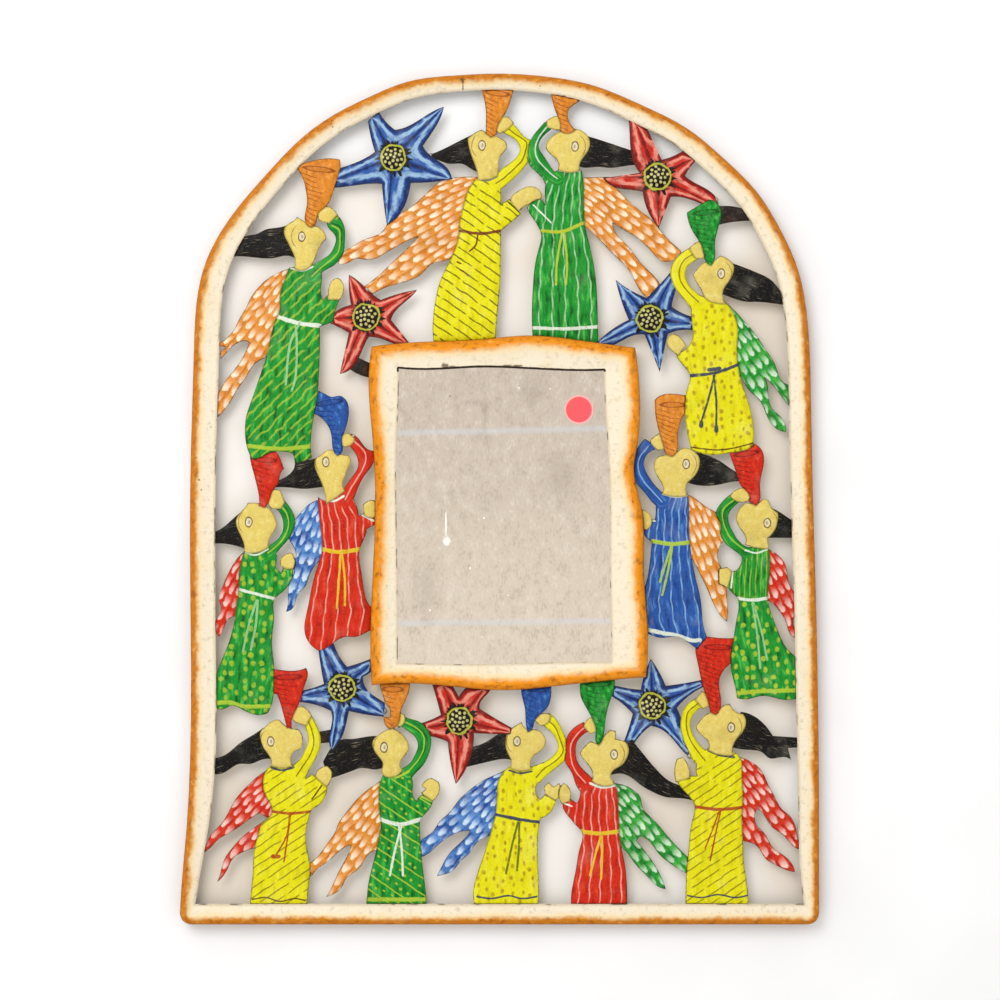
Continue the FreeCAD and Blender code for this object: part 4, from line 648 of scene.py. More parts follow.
def cream_finish(name, orange, orange_mm, stains, shadow_line_level=None):
    """Cream enamel, brushed orange and mottled brown outside; inside, painted shade along the inner edge and
    a broken black line of painted shadow, whole above a given level.
    """
    finish = Finish(name)
    out, along, inward = finish.attribute("lay")
    cloud = finish.noise(26.0, 3.0)
    colour = finish.mix(finish.ramp(cloud, -0.05, 0.3) * 0.5, PAINTS["cream"], paint(236, 216, 172))
    grime = finish.noise(3.2, 4.0)
    colour = finish.mix(finish.ramp(grime, 0.0, 0.3) * 0.55, colour, paint(196, 176, 142))
    mottle = finish.flow(along, out + grime * 5.0 + 1.1, 6.0, 2.4, 4.0)
    ragged = out + finish.noise(14.0, 3.0) * 5.0 + grime * 3.0
    faded = finish.ramp(ragged, orange_mm * 1.9, orange_mm * 1.1)
    colour = finish.mix(faded * 0.6, colour, paint(250, 214, 142))
    tone = finish.mix(finish.ramp(out, orange_mm, 0.0) * 0.5, orange, paint(190, 108, 24))
    tone = finish.mix(finish.ramp(mottle, 0.0, 0.2) * 0.75, tone, paint(150, 82, 18))
    tone = finish.mix(finish.ramp(mottle, -0.06, -0.24) * 0.5, tone, paint(250, 194, 92))
    colour = finish.mix(finish.ramp(ragged, orange_mm * 1.4, orange_mm * 0.65), colour, tone)
    hair = bands(finish, along + finish.noise(3.0) * 3.0, 2.3, 0.16, 0.1)
    broken = finish.ramp(finish.noise(3.0, 2.0), 0.04, 0.16) * finish.ramp(out, 0.8, 2.2)
    colour = finish.mix(hair * broken * 0.35, colour, paint(150, 108, 58))
    distance, chance = finish.cells(9.0)
    speck = finish.inside(distance - 0.4) * finish.ramp(chance, 0.76, 0.8)
    colour = finish.mix(speck * 0.9, colour, paint(66, 42, 22))
    colour = finish.mix(marks(finish, stains, 0.4, 1.6) * 0.8, colour, paint(84, 58, 26))
    # painted shade: the cream darker towards the inner edge
    colour = finish.mix(finish.ramp(inward + grime * 2.0, 2.0, 0.2) * 0.4, colour, paint(176, 150, 112))
    dotted = finish.ramp(finish.noise(12.0, 3.0), 0.0, 0.14) * 0.7
    inward = inward + finish.noise(4.0, 2.0) * 0.5
    if shadow_line_level is not None:
        _, _, z = finish.parts(finish.place())
        top = finish.ramp(z, shadow_line_level - 2.0, shadow_line_level - 1.0)
        dotted = dotted.most(top)
        inward = inward - top * 0.7
    # painted shadow: a thin dark line along the inner edge, broken, and whole above the given level
    line = finish.ramp(inward, 0.75, 0.45) * dotted
    colour = finish.mix(line, colour, paint(44, 30, 20))
    dipped = finish.ramp(out + finish.noise(2.0) * 0.8, 0.8, 0.1)
    colour = finish.mix(dipped * 0.6, colour, paint(104, 60, 18))
    height = finish.noise(5.0, 2.0) * 0.25 + grime * 0.12 - speck * 0.1
    return finish.surface(colour, finish.noise(9.0) * 0.15 + 0.45, height, coat=0.03, shine=0.1)


# Stains by pixel and half sizes: on the rim, with its seam at the top, and along the top of the window
RIM_STAINS = (
    ((333, 128), (0.6, 0.5)), ((238, 583), (0.5, 0.6)), ((237, 597), (0.5, 0.9)), ((642, 110), (0.5, 0.5)),
    ((540, 87), (0.6, 0.4)), ((200, 480), (0.7, 0.5)), ((202, 490), (0.5, 0.8)), ((463, 86), (0.35, 3.4)),
    ((463, 81), (1.5, 0.7)), ((463, 83), (0.9, 1.0)), ((463, 90), (0.6, 0.8)),
)
FRAME_STAINS = (
    ((445, 366), (2.2, 1.5)), ((452, 367), (2.4, 0.7)), ((506, 366), (3.4, 0.6)), ((518, 366), (2.8, 0.5)),
)


def glass_finish():
    """Mirror glass: dull silver with a warm tone, lighter towards the bottom, that is a painted reflection;
    with grain, slanting bands, smudges, dust, a white drip and specks.
    """
    finish = Finish("mirror_glass")
    x, _, z = finish.parts(finish.place())
    low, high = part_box("mirror_glass")
    # painted reflection: the silver darker at the top and lighter towards the bottom
    down = finish.ramp(z + finish.noise(60.0, 3.0) * 60.0, high[2] / MM, low[2] / MM)
    colour = finish.mix(down, paint(210, 195, 178), paint(226, 211, 192))
    grain = finish.noise(1.1, 3.0, (1, 1, 0.4)) + finish.noise(5.0, 4.0, (1, 1, 0.6))
    colour = finish.mix(finish.ramp(grain, 0.0, 0.3) * 0.36, colour, paint(164, 150, 134))
    colour = finish.mix(finish.ramp(grain, -0.05, -0.3) * 0.42, colour, paint(244, 232, 218))
    for (pixel_x, pixel_y), width, rise_share in GLASS_BANDS:
        here = spot(pixel_x, pixel_y)
        level = z - float(here[1]) - (x - float(here[0])) * rise_share
        band = finish.inside(abs(level + finish.noise(40.0) * 2.0) - width, width)
        colour = finish.mix(band * 0.5, colour, paint(218, 220, 226))
    colour = finish.mix(marks(finish, GLASS_SMUDGES, 1.0, 1.6) * 0.2, colour, paint(120, 104, 92))
    distance, chance = finish.cells(16.0)
    pale_speck = finish.inside(distance + finish.noise(2.0) * 1.6 - 0.5, 0.2) * finish.ramp(chance, 0.4, 0.36)
    drip = marks(finish, GLASS_MARKS, 0.4, 1.2).most(pale_speck * 0.8)
    colour = finish.mix(drip * 0.7, colour, paint(246, 243, 238))
    speck = finish.inside(distance - chance * 0.55, 0.1) * finish.ramp(chance, 0.6, 0.7)
    colour = finish.mix(speck * 0.7, colour, paint(92, 80, 70))
    rough = finish.ramp(finish.noise(2.0, 4.0), 0.0, 0.4) * 0.12 + drip * 0.5 + 0.05
    return finish.surface(colour, rough, None, metallic=0.92)


# Marks on the glass by pixel: bands with half-width and slope, soft smudges, and the drip with its specks
GLASS_BANDS = (((501, 431), 1.8, 0.02), ((501, 622), 1.6, 0.01))
GLASS_SMUDGES = (
    ((485, 415), (1.6, 9.0)),
    ((474, 403), (7.5, 1.6)),
    ((532, 392), (6.0, 8.0)),
    ((560, 480), (9.0, 14.0)),
    ((425, 590), (8.0, 16.0)),
)
GLASS_MARKS = (
    ((446, 524), (0.6, 8.5)),
    ((447, 541), (2.3, 3.0)),
    ((484, 518), (0.6, 0.6)),
    ((470, 568), (0.7, 0.6)),
    ((430, 610), (0.6, 0.8)),
    ((519, 388), (0.5, 0.5)),
    ((508, 595), (0.5, 0.5)),
)


def dot_finish():
    """A bare round paper sticker, paler at its rim."""
    finish = Finish("pink_paper")
    low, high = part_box("price_dot")
    x, _, z = finish.parts(finish.place())
    off_x = x - (low[0] + high[0]) / 2 / MM
    off_z = z - (low[2] + high[2]) / 2 / MM
    radius = (off_x * off_x + off_z * off_z).root() + finish.noise(5.0) * 0.5
    reach = (high[0] - low[0]) / 2 / MM
    halo = finish.ramp(radius, reach - 1.4, reach - 0.7)
    fibre = finish.noise(0.8, 3.0)
    colour = finish.mix(finish.ramp(fibre, -0.2, 0.3) * 0.25, paint(242, 92, 98), paint(248, 126, 126))
    colour = finish.mix(halo * 0.75, colour, paint(250, 200, 195))
    return finish.surface(colour, 0.6, fibre * 0.05, shine=0.1)


def card_finish():
    """Pressed grey-brown card with loose fibres."""
    finish = Finish("card")
    fibre = finish.noise(1.4, 4.0, (0.4, 1, 1))
    colour = finish.mix(finish.ramp(fibre, -0.2, 0.3), paint(150, 128, 98), paint(116, 96, 70))
    return finish.surface(colour, 0.85, fibre * 0.2, shine=0.1)


def wire_finish():
    """Drawn wire, grey with dark draw marks."""
    finish = Finish("bare_wire")
    draw = finish.noise(0.9, 3.0, (0.2, 1, 1))
    colour = finish.mix(finish.ramp(draw, -0.1, 0.3), paint(150, 148, 142), paint(92, 88, 80))
    return finish.surface(colour, draw * 0.2 + 0.36, draw * 0.08, metallic=0.9)


def tab_finish():
    """Black-brown enamel on the tie tabs."""
    finish = Finish("dark_enamel")
    worn = finish.ramp(finish.noise(4.0, 3.0), 0.0, 0.3)
    return enamel(finish, finish.mix(worn * 0.6, paint(34, 24, 18), paint(80, 54, 32)))


def solder_finish():
    """Dull solder, wrinkled where it froze, with flux stains."""
    finish = Finish("solder")
    wrinkle = finish.noise(1.2, 3.0)
    colour = finish.mix(finish.ramp(wrinkle, 0.0, 0.3) * 0.6, paint(176, 174, 166), paint(110, 96, 78))
    return finish.surface(colour, wrinkle * 0.3 + 0.4, wrinkle * 0.3, metallic=0.8)


# Distances to drawn lines, worked out for many points at once; far stands for where there is no line
FAR_MM = 99.0


def along_line(points, line):
    """For each point: its distance to the line, signed offset, run along it, segment and share of that."""
    best = np.full(len(points), np.inf)
    side = np.zeros(len(points))
    run = np.zeros(len(points))
    segment_of = np.zeros(len(points), int)
    share_of = np.zeros(len(points))
    gone = 0.0
    for index, (start, end) in enumerate(zip(line[:-1], line[1:])):
        step = end - start
        length = np.hypot(*step)
        unit = step / length
        rel = points - start
        t = rel @ unit
        if index > 0:
            t = np.maximum(t, 0)
        if index < len(line) - 2:
            t = np.minimum(t, length)
        off = rel[:, 0] * unit[1] - rel[:, 1] * unit[0]
        gap = np.hypot(*(rel - np.outer(np.clip(t, 0, length), unit)).T)
        nearer = gap < best
        best[nearer] = gap[nearer]
        side[nearer] = off[nearer]
        run[nearer] = gone + t[nearer]
        segment_of[nearer] = index
        share_of[nearer] = np.clip(t[nearer] / length, 0, 1)
        gone += length
    return best, side, run, segment_of, share_of


def rounded(line):
    """A line through the same points with its corners rounded."""
    if len(line) < 3:
        return line
    padded = np.vstack((2 * line[0] - line[1], line, 2 * line[-1] - line[-2]))
    found = []
    for before, start, end, after in zip(padded, padded[1:], padded[2:], padded[3:]):
        for t in (0, 0.25, 0.5, 0.75):
            bend = 2 * before - 5 * start + 4 * end - after
            twist = 3 * start - before - 3 * end + after
            found.append((2 * start + (end - before) * t + bend * t ** 2 + twist * t ** 3) / 2)
    return np.array(found + [line[-1]])


def stroke_ratios(points, strokes):
    """For each stroke: each point's offset from its line in half-widths, and whether it is past the ends."""
    ratios = []
    past = []
    for width_pixels, pixels in strokes:
        half = width_pixels * pixel_mm / 2
        signed, beyond = signed_gap(points, rounded(spots(pixels)))
        ratios.append(signed / half)
        past.append(beyond)
    return np.array(ratios), np.array(past)


def signed_gap(points, line):
    """Distance to a line, negative on one side of it, and whether each point is past the line's ends."""
    if len(line) == 1:
        return np.hypot(*(points - line[0]).T), np.ones(len(points), bool)
    gap, side, _, _, _ = along_line(points, line)
    return np.copysign(gap, side), gap > np.abs(side) * 1.3 + 0.2


def nearest_stroke(ratios, past, triangles):
    """For each face's corners, the nearest stroke's ratio, unsigned where the face is past its ends."""
    chosen = np.abs(ratios[:, triangles]).mean(axis=2).argmin(axis=0)
    corners = ratios[chosen[:, None], triangles]
    beyond = past[chosen[:, None], triangles].any(axis=1)
    return np.where(beyond[:, None], np.abs(corners), corners).ravel()


def pillow(distance, reach):
    """A rounded rise from 0 at an edge to 1 at a distance from it."""
    share = np.clip(distance / reach, 0, 1)
    return np.sqrt(1 - (1 - share) ** 2)


def lumps(points, size_mm, seed):
    """Low soft noise for each point, about -1 to 1."""
    shift = Vector((seed * 7.1, seed * 3.7, seed * 1.9))
    return np.array([noise.noise(Vector((x, 0, z)) / size_mm + shift) for x, z in points])


# Plans and meshes
WELD_REACH = 2e-6


def welded(node):
    """A CAD node's mesh with its doubled points joined."""
    net = bmesh.new()
    net.from_mesh(frame["nodes"][node].data)
    bmesh.ops.remove_doubles(net, verts=net.verts, dist=WELD_REACH)
    return net


def divided(a, b, pitch):
    """Points from a to b, both ends included, about a pitch apart at most."""
    count = max(1, round(np.hypot(*(b - a)) / pitch))
    return [a + (b - a) * step / count for step in range(count + 1)]


def near_tree(points):
    """A search tree over points of the plan."""
    near = KDTree(len(points))
    for index, point in enumerate(points):
        near.insert((*point, 0), index)
    near.balance()
    return near


def add_vectors(mesh, key, domain, vectors):
    """A vector attribute, filled from its start; what is left over stays zero."""
    made = mesh.attributes.new(key, "FLOAT_VECTOR", domain)
    values = np.zeros((len(made.data), 3), np.float32)
    values[: len(vectors)] = vectors
    made.data.foreach_set("vector", values.ravel())


def smooth(mesh, degrees):
    """Smooth shading, broken at edges sharper than an angle."""
    mesh.shade_smooth()
    mesh.set_sharp_from_angle(angle=math.radians(degrees))


def add_piece(name, mesh, node):
    """A piece of the mirror, fixed to it, standing for a CAD node, which it hides."""
    piece = linked(name, mesh)
    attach(piece, "mirror")
    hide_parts(node)


# A sheet of tin over the plan of a CAD node, whose front relief is worked out point by point
SHEET_THICK = 0.7
BACK_PLANE = 8.0
FRONT_FACING, SIDE_FACING = 0.98, 0.5
STEP_REACH, BACK_REACH, JOIN_REACH = 1e-6, 1e-5, 1e-4
SHEET_SHARP_DEGREES = 55


def border_segments(net):
    """Plan segments of a node's silhouette, and of the steps between its levels."""
    outline = []
    borders = []
    for edge in net.edges:
        if len(edge.link_faces) != 2:
            continue
        front = [face for face in edge.link_faces if face.normal.y < -FRONT_FACING]
        if len(front) != 1:
            continue
        wall = [face for face in edge.link_faces if face is not front[0]][0]
        if abs(wall.normal.y) > SIDE_FACING:
            continue
        low = max(vert.co.y for vert in wall.verts)
        high = min(vert.co.y for vert in edge.verts)
        if low < high + STEP_REACH:
            continue
        kept = outline if low > -BACK_PLANE * MM - BACK_REACH else borders
        a, b = (np.array((vert.co.x, vert.co.z)) / MM for vert in edge.verts)
        kept.append((a, b))
    return outline, borders


class Sheet:
    """The fine triangle net over a node's plan, with distances to its outline and to its inner borders."""

    def __init__(self, name, pitch):
        self.name = name
        net = welded(name)
        self.tree = BVHTree.FromBMesh(net)
        self.pitch = pitch
        outline, borders = border_segments(net)
        net.free()
        self.triangulate(outline + borders)
        self.measure(outline, borders)

    def split(self, segments):
        """The segments' points no farther apart than the pitch, and their links."""
        points = []
        links = []
        for a, b in segments:
            first = len(points)
            points += divided(a, b, self.pitch)
            links += [(index, index + 1) for index in range(first, len(points) - 1)]
        return points, links

    def hit(self, x, z):
        """How far the node's front is from the wall at a place, in millimetres, or None outside it."""
        place = self.tree.ray_cast(Vector((x * MM, -1, z * MM)), Vector((0, 1, 0)))[0]
        if place is None or -place.y / MM < BACK_PLANE + 0.1:
            return None
        return -place.y / MM

    def triangulate(self, segments):
        """Fills the plan with triangles that keep to the segments, and finds each one's level."""
        points, links = self.split(segments)
        near = near_tree(points)
        low = np.min(points, axis=0)
        high = np.max(points, axis=0)
        rise = self.pitch * math.sqrt(3) / 2
        for row in range(int((high[1] - low[1]) / rise) + 1):
            z = low[1] + row * rise
            shift = self.pitch / 2 * (row % 2)
            for column in range(int((high[0] - low[0]) / self.pitch) + 1):
                x = low[0] + shift + column * self.pitch
                if self.hit(x, z) is None:
                    continue
                if near.find((x, z, 0))[2] > self.pitch * 0.55:
                    points.append(np.array((x, z)))
        flat = [Vector(point) for point in points]
        verts, _, faces, _, _, _ = delaunay_2d_cdt(flat, links, [], 0, JOIN_REACH)
        places = np.array([(vert.x, vert.y) for vert in verts])
        triangles = np.array(faces)
        centres = places[triangles].mean(axis=1)
        depths = [self.hit(x, z) for x, z in centres]
        inside = np.array([depth is not None for depth in depths])
        self.face_depth = np.array([depth for depth in depths if depth is not None])
        used, numbers = np.unique(triangles[inside], return_inverse=True)
        self.triangles = numbers.reshape(-1, 3)
        self.points = places[used]
        a, b, c = (self.points[self.triangles[:, corner]] for corner in range(3))
        area = (b[:, 0] - a[:, 0]) * (c[:, 1] - a[:, 1]) - (b[:, 1] - a[:, 1]) * (c[:, 0] - a[:, 0])
        flipped = area < 0
        self.triangles[flipped] = self.triangles[flipped][:, ::-1]
        self.depth = self.spread(self.face_depth)

    def spread(self, face_values):
        """Face values averaged to the points."""
        total = np.zeros(len(self.points))
        count = np.zeros(len(self.points))
        for corner in range(3):
            np.add.at(total, self.triangles[:, corner], face_values)
            np.add.at(count, self.triangles[:, corner], 1)
        return total / np.maximum(count, 1)

    def smoothed(self, values, rounds):
        """Point values evened out with their neighbours'."""
        pairs = np.concatenate([self.triangles[:, corners] for corners in ((0, 1), (1, 2), (2, 0))])
        count = np.zeros(len(values))
        for side in (0, 1):
            np.add.at(count, pairs[:, side], 1)
        for _ in range(rounds):
            total = np.zeros(len(values))
            np.add.at(total, pairs[:, 0], values[pairs[:, 1]])
            np.add.at(total, pairs[:, 1], values[pairs[:, 0]])
            values = (values + total / count) / 2
        return values

    def measure(self, outline, borders):
        """Distances of the points to the silhouette and to the inner borders."""
        self.edge = self.nearest(outline)
        self.border = self.nearest(borders) if borders else np.full(len(self.points), FAR_MM)
        self.any_border = np.minimum(self.edge, self.border)

    def nearest(self, segments):
        """Each point's distance to the nearest of the segments."""
        fine = self.pitch / 4
        near = near_tree([point for a, b in segments for point in divided(a, b, fine)])
        gaps = np.array([near.find((x, z, 0))[2] for x, z in self.points])
        return np.maximum(gaps - fine / 2, 0)

    def build(self, depth, face_finish, finishes, corner_vectors, point_vectors):
        """The closed sheet: front, back and cut edge, with its finishes and attributes."""
        count = len(self.points)
        front = np.column_stack((self.points[:, 0], -depth, self.points[:, 1])) * MM
        back = front + np.array((0, SHEET_THICK * MM, 0))
        edges = {}
        for a, b, c in self.triangles:
            for pair in ((a, b), (b, c), (c, a)):
                edges[pair] = True
        rim = [pair for pair in edges if (pair[1], pair[0]) not in edges]
        faces = self.triangles.tolist()
        faces += (self.triangles[:, ::-1] + count).tolist()
        faces += [(b, a, a + count, b + count) for a, b in rim]
        mesh = bpy.data.meshes.new(self.name)
        mesh.from_pydata(np.vstack((front, back)).tolist(), [], faces)
        for finish in finishes:
            mesh.materials.append(finish)
        extra = len(finishes) - 2
        numbers = (face_finish, np.full(len(self.triangles), extra), np.full(len(rim), extra + 1))
        mesh.polygons.foreach_set("material_index", np.concatenate(numbers).astype(np.int32))
        for key, vectors in corner_vectors.items():
            add_vectors(mesh, key, "CORNER", vectors)
        for key, vectors in point_vectors.items():
            add_vectors(mesh, key, "POINT", np.vstack((vectors, vectors)))
        smooth(mesh, SHEET_SHARP_DEGREES)
        add_piece(f"{self.name}_sheet", mesh, self.name)


# The angels: regions from the back level to the front one, how far each swells and over what reach
REGIONS = ("wing", "hair", "robe", "head", "hand", "horn")
SWELL_MM = {"wing": 0.7, "hair": 0.7, "robe": 1.3, "head": 1.4, "hand": 0.7, "horn": 1.6}
REACH_MM = {"wing": 4.0, "hair": 3.5, "robe": 5.5, "head": 5.0, "hand": 3.0, "horn": 5.0}
FIRST_LEVEL, LEVEL_STEP = 8.8, 0.3
LEVEL_SHARE = 0.5
WING_SETBACK_SHARE, WING_SPREAD_SHARE = 1.2, 1.8
WHOLE_SHARE = 0.99
FEATHER_MM, FOLD_MM, BELT_MM, DENT_MM = 0.18, 0.16, 0.25, 0.25
ANGEL_PITCH = 1.0

